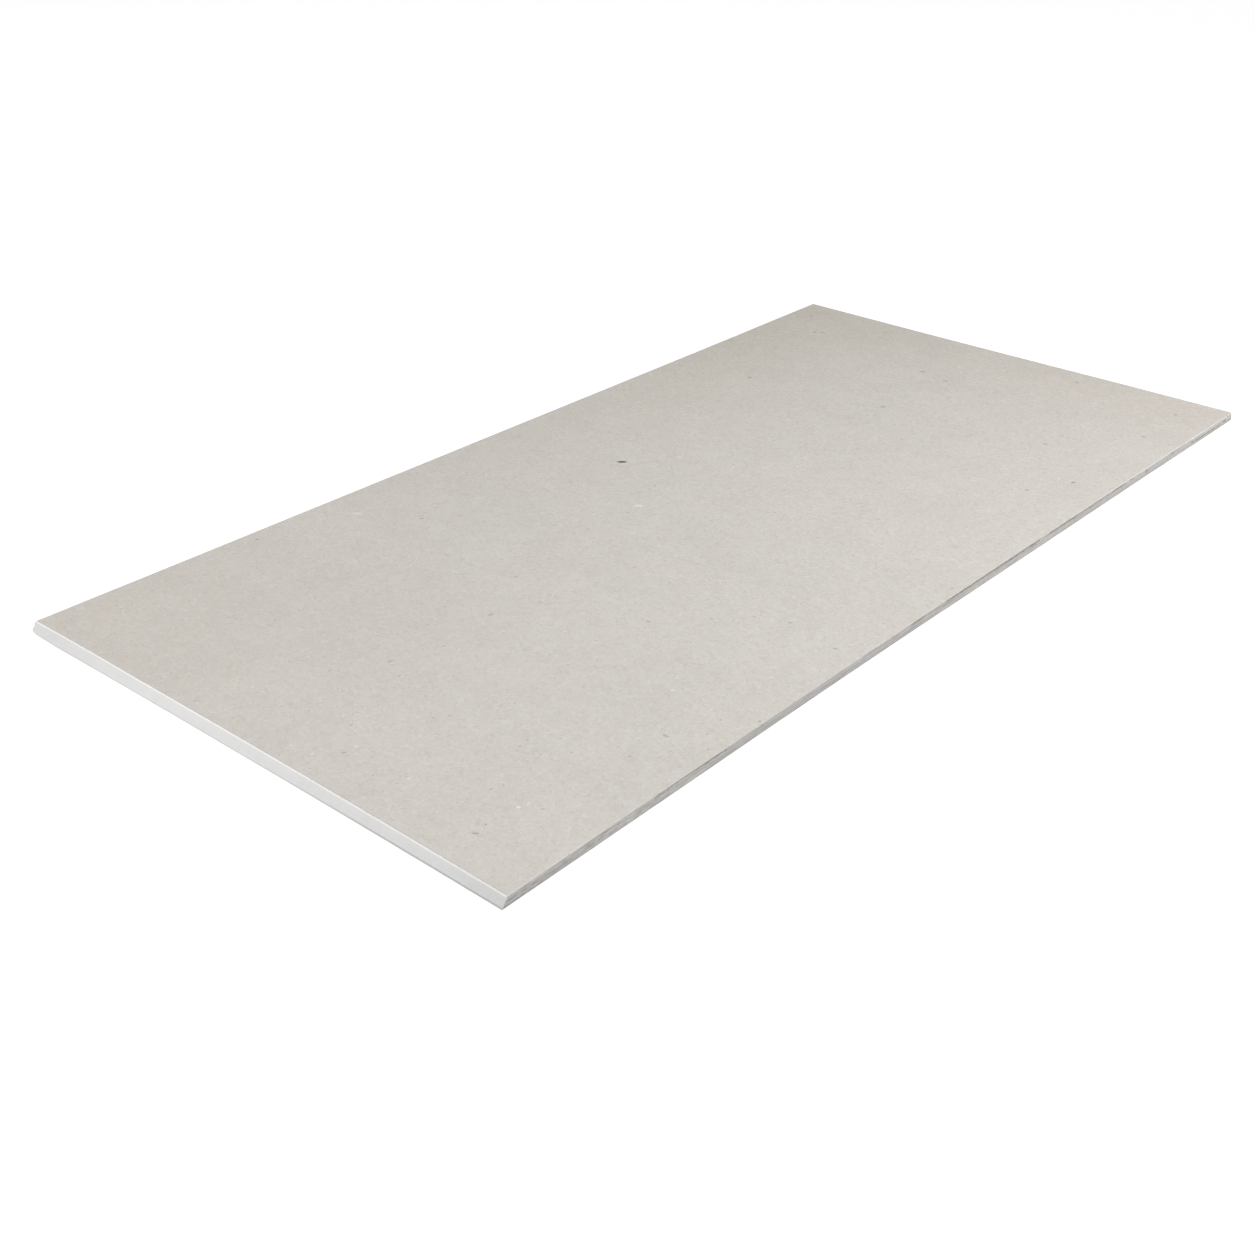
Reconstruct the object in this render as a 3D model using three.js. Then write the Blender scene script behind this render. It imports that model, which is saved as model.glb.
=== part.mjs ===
// Drywall sheet: a gypsum core between two papers, lying flat with its finish face up.
//
// Millimetres, +Z up. The origin is under the middle of the sheet, level with its back. X runs across
// the sheet and +Y runs along it, from the bevelled end to the square one.
//
// The face paper is one wrap. It covers the finish face, turns down over both long sides and is folded
// a short way in under the back. The back paper lies over those two flaps and stops short of the long
// sides. Both short ends are cut through all three, so the gypsum is bare there.
//
// The sheet is widest, and its bevelled end stands out furthest, at one height: the girth, which is
// where the long sides begin to turn under to the back.

import * as THREE from "three";

// ---------------------------------------------------------------------------------------------------
// Driving dimensions
// ---------------------------------------------------------------------------------------------------

// The whole sheet.
const sheetLength = 2438.4;
const sheetWidth = 1219.2;
const sheetThickness = 15.9;

// The bevelled end: how far the finish face stops short of the girth, and how far the back does.
const bevelLength = 17;
const noseLength = 2.5;

// The papers.
const facePaperThickness = 0.4;
const backPaperThickness = 0.4;
const flapWidth = 25.4; // from a long side in to the edge of the folded flap
const flapScarf = 1; // how far the slanting edge of the flap runs
const backPaperMargin = 9.5; // from a long side in to the edge of the back paper

// The long sides, where the face paper is folded. They lean in from the girth to the finish face.
const sideLeanDegrees = 13;
const faceFoldRadius = 1.2;
const backFoldRadius = 2.6;
const foldSteps = 5;

// ---------------------------------------------------------------------------------------------------
// Section across the sheet, in X and Z
// ---------------------------------------------------------------------------------------------------

const sideLean = THREE.MathUtils.degToRad(sideLeanDegrees);
const quarterTurn = Math.PI / 2;
const girthHeight = backPaperThickness + backFoldRadius;
const flapEnd = sheetWidth / 2 - flapWidth;

// The centres of the two folds of the right-hand long side. The side leaves the back fold at the girth
// and runs straight until it touches the face fold.
const backFold = new THREE.Vector2(sheetWidth / 2 - backFoldRadius, girthHeight);
const faceFoldHeight = sheetThickness - faceFoldRadius;
const faceFoldInset =
  (faceFoldRadius + (faceFoldHeight - girthHeight) * Math.sin(sideLean)) / Math.cos(sideLean);
const faceFold = new THREE.Vector2(sheetWidth / 2 - faceFoldInset, faceFoldHeight);

// Points along a fold, clockwise from one angle to the other.
function foldArc(centre, radius, fromAngle, toAngle) {
  const clockwise = true;
  const arc = new THREE.EllipseCurve(centre.x, centre.y, radius, radius, fromAngle, toAngle, clockwise);
  return arc.getPoints(foldSteps);
}

// The right-hand side from the finish face down to the back, at one depth below the paper's surface.
function sideLine(depth) {
  return [
    ...foldArc(faceFold, faceFoldRadius - depth, quarterTurn, sideLean),
    ...foldArc(backFold, backFoldRadius - depth, 0, -quarterTurn),
  ];
}

const coreSide = sideLine(facePaperThickness);

// A line down the right-hand side, continued up the left-hand side and over to meet it.
function bothSides(line) {
  const left = line.map((point) => new THREE.Vector2(-point.x, point.y)).reverse();
  return [...left, ...line];
}

// The wrap: out along its outer surface from flap to flap, and back along its inner one.
function facePaperSection() {
  const flapOuterEdge = new THREE.Vector2(flapEnd, backPaperThickness);
  const flapInnerEdge = new THREE.Vector2(flapEnd + flapScarf, backPaperThickness + facePaperThickness);
  const outer = bothSides([...sideLine(0), flapOuterEdge]);
  const inner = bothSides([...coreSide, flapInnerEdge]);
  return new THREE.Shape([...outer, ...inner.reverse()]);
}

function backPaperSection() {
  const edge = sheetWidth / 2 - backPaperMargin;
  return new THREE.Shape([
    new THREE.Vector2(-edge, 0),
    new THREE.Vector2(edge, 0),
    new THREE.Vector2(edge, backPaperThickness),
    new THREE.Vector2(-edge, backPaperThickness),
  ]);
}

// ---------------------------------------------------------------------------------------------------
// Ends of the sheet, in Y
// ---------------------------------------------------------------------------------------------------

// How far the bevelled end stands back from its furthest point at one height. A quarter of an ellipse
// turns it under below the girth, and a straight slope takes it up to the finish face above.
function bevelInset(height) {
  if (height >= girthHeight) {
    return (bevelLength * (height - girthHeight)) / (sheetThickness - girthHeight);
  }
  const drop = (girthHeight - height) / girthHeight;
  return noseLength * (1 - Math.sqrt(1 - drop * drop));
}

function endPosition(isFarEnd, height) {
  return isFarEnd ? sheetLength / 2 : bevelInset(height) - sheetLength / 2;
}

// ---------------------------------------------------------------------------------------------------
// Pieces
// ---------------------------------------------------------------------------------------------------

// Turns a section drawn in local X and Y up into X and Z, with its extrusion running along -Y.
const standUp = new THREE.Matrix4().makeBasis(
  new THREE.Vector3(1, 0, 0),
  new THREE.Vector3(0, 0, 1),
  new THREE.Vector3(0, -1, 0),
);

// A paper: its section run from end to end of the sheet.
function paperGeometry(section) {
  const geometry = new THREE.ExtrudeGeometry(section, { depth: sheetLength, bevelEnabled: false });
  geometry.translate(0, 0, -sheetLength / 2);
  geometry.applyMatrix4(standUp);
  const position = geometry.attributes.position;
  for (let i = 0; i < position.count; i += 1) {
    position.setY(i, endPosition(position.getY(i) > 0, position.getZ(i)));
  }
  return geometry;
}

// The core: a box with one layer for each point of its side. It fills the wrap, so it is deeper
// between the flaps, by the thickness of the face paper.
function coreGeometry() {
  const layers = [...coreSide].reverse();
  const flapLine = [flapEnd + flapScarf, flapEnd];
  const columns = 2 * flapLine.length + 1;
  const geometry = new THREE.BoxGeometry(1, 1, 1, columns, 1, layers.length - 1);
  const position = geometry.attributes.position;
  for (let i = 0; i < position.count; i += 1) {
    const layer = Math.round((position.getZ(i) + 0.5) * (layers.length - 1));
    const column = Math.round((position.getX(i) + 0.5) * columns);
    const side = column > columns / 2 ? 1 : -1;
    const columnFromSide = Math.min(column, columns - column);
    const reach = [layers[layer].x, ...flapLine][columnFromSide];
    const isBetweenFlaps = layer === 0 && columnFromSide === flapLine.length;
    const height = isBetweenFlaps ? backPaperThickness : layers[layer].y;
    position.setXYZ(i, side * reach, endPosition(position.getY(i) > 0, height), height);
  }
  return geometry;
}

function piece(name, geometry, material) {
  geometry.computeVertexNormals();
  const mesh = new THREE.Mesh(geometry, material);
  mesh.name = name;
  return mesh;
}

const gypsum = new THREE.MeshStandardMaterial({ color: 0xe4e4e0, roughness: 0.95, metalness: 0 });
const ivoryPaper = new THREE.MeshStandardMaterial({ color: 0xcfcbc2, roughness: 0.9, metalness: 0 });
const greyPaper = new THREE.MeshStandardMaterial({ color: 0x9f9a90, roughness: 0.92, metalness: 0 });

const sheet = new THREE.Group();
sheet.add(
  piece("gypsum_core", coreGeometry(), gypsum),
  piece("face_paper", paperGeometry(facePaperSection()), ivoryPaper),
  piece("back_paper", paperGeometry(backPaperSection()), greyPaper),
);

export default sheet;
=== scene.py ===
"""A drywall sheet lying flat: its papers, its gypsum core and its cut ends, in a plain pale studio.

Everything is in metres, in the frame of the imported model: the origin is under the middle of the sheet,
X runs across it, +Y runs along it from the bevelled end to the square one, and +Z is up. Near is towards
the bevelled end, and far is towards the square one.
"""

from __future__ import annotations

import logging
import math
from collections.abc import Callable, Iterable
from dataclasses import dataclass, replace
from enum import Enum
from functools import reduce

import bmesh
import bpy
from mathutils import Matrix, Vector, noise


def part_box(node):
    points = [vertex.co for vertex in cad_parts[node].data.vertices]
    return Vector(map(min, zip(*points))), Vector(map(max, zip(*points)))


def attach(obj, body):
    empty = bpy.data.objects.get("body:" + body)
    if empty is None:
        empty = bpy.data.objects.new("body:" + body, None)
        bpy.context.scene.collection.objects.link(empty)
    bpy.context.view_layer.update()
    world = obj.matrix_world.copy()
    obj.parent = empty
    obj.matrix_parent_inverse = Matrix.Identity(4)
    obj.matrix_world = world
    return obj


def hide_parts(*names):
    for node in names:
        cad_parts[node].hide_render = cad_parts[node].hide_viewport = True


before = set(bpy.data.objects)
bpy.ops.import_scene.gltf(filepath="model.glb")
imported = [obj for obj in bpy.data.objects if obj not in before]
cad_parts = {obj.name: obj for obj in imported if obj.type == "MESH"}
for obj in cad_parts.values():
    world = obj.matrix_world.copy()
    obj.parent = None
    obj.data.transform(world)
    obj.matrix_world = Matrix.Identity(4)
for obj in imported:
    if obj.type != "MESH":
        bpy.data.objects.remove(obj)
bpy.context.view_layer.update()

LOG = logging.getLogger("drywall_sheet")
BODY = "root"
MM = 0.001
SAME_PLACE = 1e-6
SMOOTH_ANGLE = math.radians(38.0)

# The attribute that keeps where each point is on the straight, square-ended sheet.
MILL_PLACE = "mill_place"

# How far a seed of 1 shifts a pattern along each axis, in a shape and in a material.
BUMP_STRIDE = (17.3, 5.9, 11.1)
CLOUD_STRIDE = (1.0, 0.37, 0.61)

# Each layer of the bumps is finer than the one before it by the gap, and fainter by the gap to the power
# of the fall.
LAYER_FALL = 1.0
LAYER_GAP = 2.0

Colour = tuple[float, float, float, float]
Socket = bpy.types.NodeSocket

WHITE: Colour = (1.0, 1.0, 1.0, 1.0)


class End(Enum):
    """The two cut ends of the sheet, by the side of the origin that each is on."""

    BEVELLED = -1
    SQUARE = 1


class Side(Enum):
    """The two long sides of the sheet, by the side of the origin that each is on."""

    LEFT = -1
    RIGHT = 1


class Axis(Enum):
    """The two axes that lie in the sheet, by their place in a point."""

    ACROSS = 0
    ALONG = 1


# ----------------------------------------------------------------------------------------------------
# Shape of the sheet
# ----------------------------------------------------------------------------------------------------


def eased(value: float, low: float, high: float) -> float:
    """Gives 0 at low and 1 at high, with a smooth rise between them. Low may be the larger."""
    part = min(1.0, max(0.0, (value - low) / (high - low)))
    return part * part * (3.0 - 2.0 * part)


def between(pair: tuple[float, float], share: float) -> float:
    """Gives the first of two numbers at a share of 0 and the second at 1."""
    return pair[0] + (pair[1] - pair[0]) * share


def even(length: float, step: float) -> list[float]:
    """Splits a length into equal steps, each about as long as asked. Gives where each one ends."""
    count = max(1, round(length / step))
    return [length * (index + 1) / count for index in range(count)]


def graded(length: float, fine: float, coarse: float, growth: float = 1.6) -> list[float]:
    """Splits a length into steps that are fine at both ends and coarse in the middle.

    Args:
        length: the length to split.
        fine: the first and the last step.
        coarse: the longest step.
        growth: how much longer each step is than the one before it.

    Returns:
        The distance of each step's end from the start. The last one is the length.
    """
    rise = [fine]
    while rise[-1] * growth < coarse:
        rise.append(rise[-1] * growth)
    middle = length - 2.0 * sum(rise)
    count = max(1, round(middle / coarse))
    steps = rise + [middle / count] * count + rise[::-1]
    reached = [sum(steps[: index + 1]) for index in range(len(steps))]
    return reached[:-1] + [length]


def along_axes(outwards: Vector, across: float, along: float) -> Vector:
    """Gives a move across and along the sheet, towards one of its corners."""
    return Vector((outwards.x * across, outwards.y * along, 0.0))


@dataclass(frozen=True)
class Bumps:
    """A pattern of smooth bumps in a shape.

    A bump's size is infinite along an axis that the pattern doesn't vary along. A pattern that is split by
    an axis is even along it, but differs between the two halves of the sheet.
    """

    seed: float
    size: tuple[float, float, float]
    split: Axis | None = None
    apart: float = 0.0
    octaves: int = 3
    gain: float = 1.0

    def height(self, point: Vector) -> float:
        """Gives how high the bumps are at a point.

        Args:
            point: a point of the sheet.

        Returns:
            A number that is mostly between -1 and 1.
        """
        place = [distance / size for distance, size in zip(point, self.size)]
        if self.split is not None:
            place[self.split.value] = math.copysign(self.apart, point[self.split.value])
        shift = Vector([self.seed * stride for stride in BUMP_STRIDE])
        return noise.fractal(Vector(place) + shift, LAYER_FALL, LAYER_GAP, self.octaves)

    def share(self, point: Vector) -> float:
        """Gives how high the bumps are at a point as a share from 0 to 1, after the gain."""
        return 0.5 + 0.5 * max(-1.0, min(1.0, self.gain * self.height(point)))


@dataclass(frozen=True)
class Corner:
    """One corner of the sheet, as handling has left it.

    Each pair of sizes is for low down and for the finish face: the radius that the corner is knocked to in
    plan, and how far the end runs in towards it. The underside may be curled up there, and the finish face
    may stand out across the sheet.
    """

    side: Side
    end: End
    radii: tuple[float, float]
    runs: tuple[float, float] = (0.0, 0.0)
    run_reach: float = 0.61
    curl: float = 0.0
    curl_reach: float = 0.148
    flare: float = 0.0
    flare_reach: float = 0.3

    def knocked(self, shape: SheetShape, point: Vector) -> Vector:
        """Moves a point near the corner.

        Args:
            shape: the sheet that the corner is on.
            point: a point of a sheet with two square ends.

        Returns:
            The point, moved where it is near the corner.
        """
        share = eased(point.z, shape.girth, shape.thickness)
        outwards = Vector((self.side.value, self.end.value, 0.0))
        from_side = shape.width / 2.0 - outwards.x * point.x
        from_end = shape.length / 2.0 - outwards.y * point.y
        curled = self.curl * (1.0 - share) * self._closeness(from_side, from_end, self.curl_reach)
        flared = share * self._closeness(from_side, from_end, self.flare_reach)
        run = between(self.runs, share)
        run *= max(0.0, 1.0 - from_side / self.run_reach) * max(0.0, 1.0 - from_end / shape.length)
        out = along_axes(outwards, self.flare * flared, -run)
        radius = between(self.radii, share)
        past_side = radius - shape.side_reach(point.z, 0.0) + outwards.x * point.x
        past_end = radius - from_end
        if past_side > 0.0 and past_end > 0.0:
            pull = 1.0 - max(past_side, past_end) / math.hypot(past_side, past_end)
            out -= along_axes(outwards, past_side * pull, past_end * pull)
        return point + out + Vector((0.0, 0.0, curled))

    @staticmethod
    def _closeness(from_side: float, from_end: float, reach: float) -> float:
        """Gives 1 at the corner and 0 further than a reach from it."""
        return eased(from_side, reach, 0.0) * eased(from_end, reach, 0.0)


@dataclass(frozen=True)
class SheetShape:
    """Sizes of the whole sheet, which its pieces share.

    The sheet is widest, and its bevelled end stands out furthest, at the girth: the height at which the
    long sides begin to turn under to the back.
    """

    length: float
    width: float
    thickness: float
    bevel_length: float = 17.0 * MM
    nose_length: float = 2.5 * MM
    paper: float = 0.4 * MM
    flap_width: float = 25.4 * MM
    flap_scarf: float = 1.0 * MM
    back_margin: float = 9.5 * MM
    lean: float = math.radians(13.0)
    face_fold: float = 1.2 * MM
    back_fold: float = 2.6 * MM

    # How the arrises of the finish face waver, and how uneven that face is.
    arris_band: tuple[float, float] = (16.0 * MM, 5.0 * MM)
    arris_wave: float = 0.30 * MM
    arris_bumps: Bumps = Bumps(1.0, (math.inf, 0.055, math.inf), Axis.ACROSS, 3.0)
    face_wave: float = 0.12 * MM
    face_bumps: Bumps = Bumps(2.0, (0.13, 0.17, math.inf), octaves=2)

    # How far the right-hand side and the ends bow in. The side's low edge wavers as well.
    low_bow: float = 5.5 * MM
    high_bow: float = 7.1 * MM
    end_bow: float = 4.3 * MM
    far_bow: float = 4.8 * MM
    low_wave: float = 1.05 * MM
    low_wave_length: float = 1.5
    low_wave_start: float = -0.03

    corners: tuple[Corner, ...] = (
        Corner(Side.LEFT, End.BEVELLED, (16.0 * MM, 2.6 * MM), curl=4.0 * MM, flare=1.2 * MM),
        Corner(Side.RIGHT, End.BEVELLED, (1.5 * MM, 2.0 * MM), runs=(2.2 * MM, 0.0)),
        Corner(Side.RIGHT, End.SQUARE, (5.0 * MM, 7.0 * MM), runs=(10.0 * MM, 5.6 * MM), run_reach=0.3),
        Corner(Side.LEFT, End.SQUARE, (2.0 * MM, 1.0 * MM), flare=2.6 * MM, flare_reach=0.6),
    )

    @property
    def girth(self) -> float:
        """Height of the widest line above the back."""
        return self.paper + self.back_fold

    @property
    def back_fold_centre(self) -> Vector:
        """Middle of the right-hand fold at the back."""
        return Vector((self.width / 2.0 - self.back_fold, 0.0, self.girth))

    @property
    def face_fold_centre(self) -> Vector:
        """Middle of the right-hand fold at the finish face, where the leaning side touches it.

        Returns:
            A point across the sheet, in X and Z.
        """
        height = self.thickness - self.face_fold
        inset = (self.face_fold + (height - self.girth) * math.sin(self.lean)) / math.cos(self.lean)
        return Vector((self.width / 2.0 - inset, 0.0, height))

    def side_reach(self, height: float, depth: float) -> float:
        """Gives how far the straight, unworn sheet reaches to each side.

        Args:
            height: height above the back.
            depth: how far below the surface of the paper.

        Returns:
            The distance from the middle of the sheet.
        """
        back, face = self.back_fold_centre, self.face_fold_centre
        top_of_side = face.z + (self.face_fold - depth) * math.sin(self.lean)
        if height < self.girth:
            radius = self.back_fold - depth
            drop = min(radius, self.girth - height)
            return back.x + math.sqrt(radius * radius - drop * drop)
        if height <= top_of_side:
            low = back.x + self.back_fold - depth
            high = face.x + (self.face_fold - depth) * math.cos(self.lean)
            return low + (high - low) * (height - self.girth) / (top_of_side - self.girth)
        radius = self.face_fold - depth
        rise = min(radius, height - face.z)
        return face.x + math.sqrt(radius * radius - rise * rise)

    def bevel_inset(self, height: float) -> float:
        """Gives how far the bevelled end stands back from its furthest point.

        Args:
            height: height above the back.

        Returns:
            The distance along the sheet.
        """
        if height >= self.girth:
            return self.bevel_length * (height - self.girth) / (self.thickness - self.girth)
        drop = min(1.0, (self.girth - height) / self.girth)
        return self.nose_length * (1.0 - math.sqrt(1.0 - drop * drop))

    def cut(self, point: Vector) -> Vector:
        """Moves a point of the square-ended sheet along it, to where the bevelled cut puts it."""
        share = 0.5 - point.y / self.length
        return point + Vector((0.0, self.bevel_inset(point.z) * share, 0.0))

    def handled(self, point: Vector) -> Vector:
        """Moves a point to where storage and handling have left it.

        The corners are knocked about. The right-hand long side and both ends bow in a little.

        Args:
            point: a point of a sheet with two square ends and straight sides.

        Returns:
            The moved point.
        """
        for corner in self.corners:
            point = corner.knocked(self, point)
        across, along = 2.0 * point.x / self.width, 2.0 * point.y / self.length
        share = min(1.0, max(0.0, (point.z - self.girth) / (self.thickness - self.girth)))
        low_bow = self.low_bow * (1.0 - max(0.0, along) ** 3)
        side_bow = between((low_bow, self.high_bow), share)
        swing = math.sin(math.tau * (point.y - self.low_wave_start) / self.low_wave_length)
        side_bow -= self.low_wave * (1.0 - share) * swing
        inward = side_bow * (1.0 - along * along) * max(0.0, across)
        ends = self.end_bow * (0.5 - 0.5 * along) - self.far_bow * (0.5 + 0.5 * along)
        return point + Vector((-inward, ends * (1.0 - across * across), 0.0))

    def worn(self, point: Vector) -> Vector:
        """Moves a point inwards to where handling has left it: wavy arrises and a face not quite flat.

        Args:
            point: a point of the sheet as it left the mill.

        Returns:
            The moved point, which is never outside the sheet.
        """
        above = eased(point.z, self.girth, self.thickness)
        outer, inner = (self.width / 2.0 - band for band in self.arris_band)
        near_side = eased(abs(point.x), outer, inner)
        side = math.copysign(1.0, point.x)
        inward = -side * near_side * above * self.arris_bumps.share(point) * self.arris_wave
        sag = above * self.face_bumps.share(point) * self.face_wave
        return point + Vector((inward, 0.0, -sag))


class SectionPen:
    """Draws a line across the sheet with bmesh operators, in X and Z at one end."""

    def __init__(self, mesh: bmesh.types.BMesh, start: Vector) -> None:
        """Sets the pen down in a mesh, at the first point of the line."""
        self.mesh = mesh
        self.tip = bmesh.ops.create_vert(mesh, co=start)["vert"][0]

    def straight(self, end: Vector, distances: Iterable[float]) -> None:
        """Draws a straight line.

        Args:
            end: where the line ends.
            distances: where its points are, as distances from its start. The last one is its length.
        """
        start = self.tip.co.copy()
        length = (end - start).length
        for distance in distances:
            self.tip = bmesh.ops.extrude_vert_indiv(self.mesh, verts=[self.tip])["verts"][0]
            self.tip.co = start.lerp(end, distance / length)

    def fold(self, centre: Vector, angle: float, steps: int) -> None:
        """Draws an arc, anticlockwise as seen from the bevelled end.

        Args:
            centre: the middle of the arc.
            angle: how far it turns, in radians.
            steps: how many straight pieces it is made of.
        """
        swept = bmesh.ops.spin(
            self.mesh,
            geom=[self.tip],
            cent=centre,
            axis=(0.0, -1.0, 0.0),
            angle=angle,
            steps=steps,
            use_merge=False,
            use_duplicate=False,
        )
        self.tip = swept["geom_last"][0]


def of_kind(made: list[object], kind: type) -> list:
    """Picks the elements of one kind from all that an operator made."""
    return [element for element in made if isinstance(element, kind)]


def swept_along(mesh: bmesh.types.BMesh, start: float, distances: Iterable[float]) -> None:
    """Extrudes the line in a mesh along the sheet.

    Args:
        mesh: holds one line of edges and nothing else.
        start: where along the sheet the line is moved to first.
        distances: where the rows are, as distances from the start.
    """
    bmesh.ops.translate(mesh, verts=mesh.verts[:], vec=(0.0, start, 0.0))
    row: list[bmesh.types.BMEdge] = mesh.edges[:]
    for distance in distances:
        made = bmesh.ops.extrude_edge_only(mesh, edges=row)["geom"]
        row = of_kind(made, bmesh.types.BMEdge)
        verts = of_kind(made, bmesh.types.BMVert)
        bmesh.ops.translate(mesh, verts=verts, vec=(0.0, start + distance - verts[0].co.y, 0.0))


def shaped(mesh: bmesh.types.BMesh, *moves: Callable[[Vector], Vector]) -> None:
    """Passes every vertex of a mesh through some moves, in order.

    Args:
        mesh: the mesh to shape.
        *moves: functions from a point to the moved point.
    """
    for vert in mesh.verts:
        for move in moves:
            vert.co = move(vert.co)


def keep_mill_place(mesh: bmesh.types.BMesh) -> None:
    """Keeps where each vertex is on the straight, square-ended sheet, for patterns that follow its edges.

    Args:
        mesh: the mesh, before its ends are cut to the bevel and its sides bowed.
    """
    layer = mesh.verts.layers.float_vector.new(MILL_PLACE)
    for vert in mesh.verts:
        vert[layer] = vert.co


def new_object(name: str, data: bpy.types.ID) -> bpy.types.Object:
    """Makes an object and puts it in the scene.

    Args:
        name: the object's name.
        data: its mesh, lamp or camera.

    Returns:
        The object.
    """
    made = bpy.data.objects.new(name, data)
    bpy.context.scene.collection.objects.link(made)
    return made


def mesh_object(
    mesh: bmesh.types.BMesh, name: str, material: bpy.types.Material
) -> bpy.types.Object:
    """Makes an object of a finished mesh.

    Args:
        mesh: the mesh, which is freed.
        name: the object's name.
        material: its material.

    Returns:
        The object.
    """
    data = bpy.data.meshes.new(name)
    mesh.to_mesh(data)
    mesh.free()
    data.materials.append(material)
    return new_object(name, data)


def finished(
    mesh: bmesh.types.BMesh, name: str, material: bpy.types.Material
) -> bpy.types.Object:
    """Makes a mesh a piece of the sheet.

    Args:
        mesh: the finished mesh, which is freed.
        name: the piece's name.
        material: its finish.

    Returns:
        The piece, which rides on the sheet's one body.
    """
    piece = mesh_object(mesh, name, material)
    piece.data.shade_smooth()
    piece.data.set_sharp_from_angle(angle=SMOOTH_ANGLE)
    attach(piece, BODY)
    return piece


# ----------------------------------------------------------------------------------------------------
# Shader graphs
# ----------------------------------------------------------------------------------------------------


@dataclass(frozen=True)
class Step:
    """A smooth step in a number, from start where it is low to end where it is high.

    Low may be the larger of the two limits.
    """

    low: float
    high: float
    start: float = 0.0
    end: float = 1.0

    def moved(self, distance: float) -> Step:
        """Gives the same step further up, such as one that was measured from the sheet's edge."""
        return replace(self, low=self.low + distance, high=self.high + distance)


@dataclass(frozen=True)
class Cloud:
    """Soft noise: how many bumps go to a unit, which pattern it is, and its finer layers.

    A unit is a metre, or along each axis the part of a metre that the stretch cuts it into.
    """

    scale: float
    seed: float
    detail: float = 2.0
    rough: float = 0.5
    stretch: tuple[float, float, float] | None = None


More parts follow.
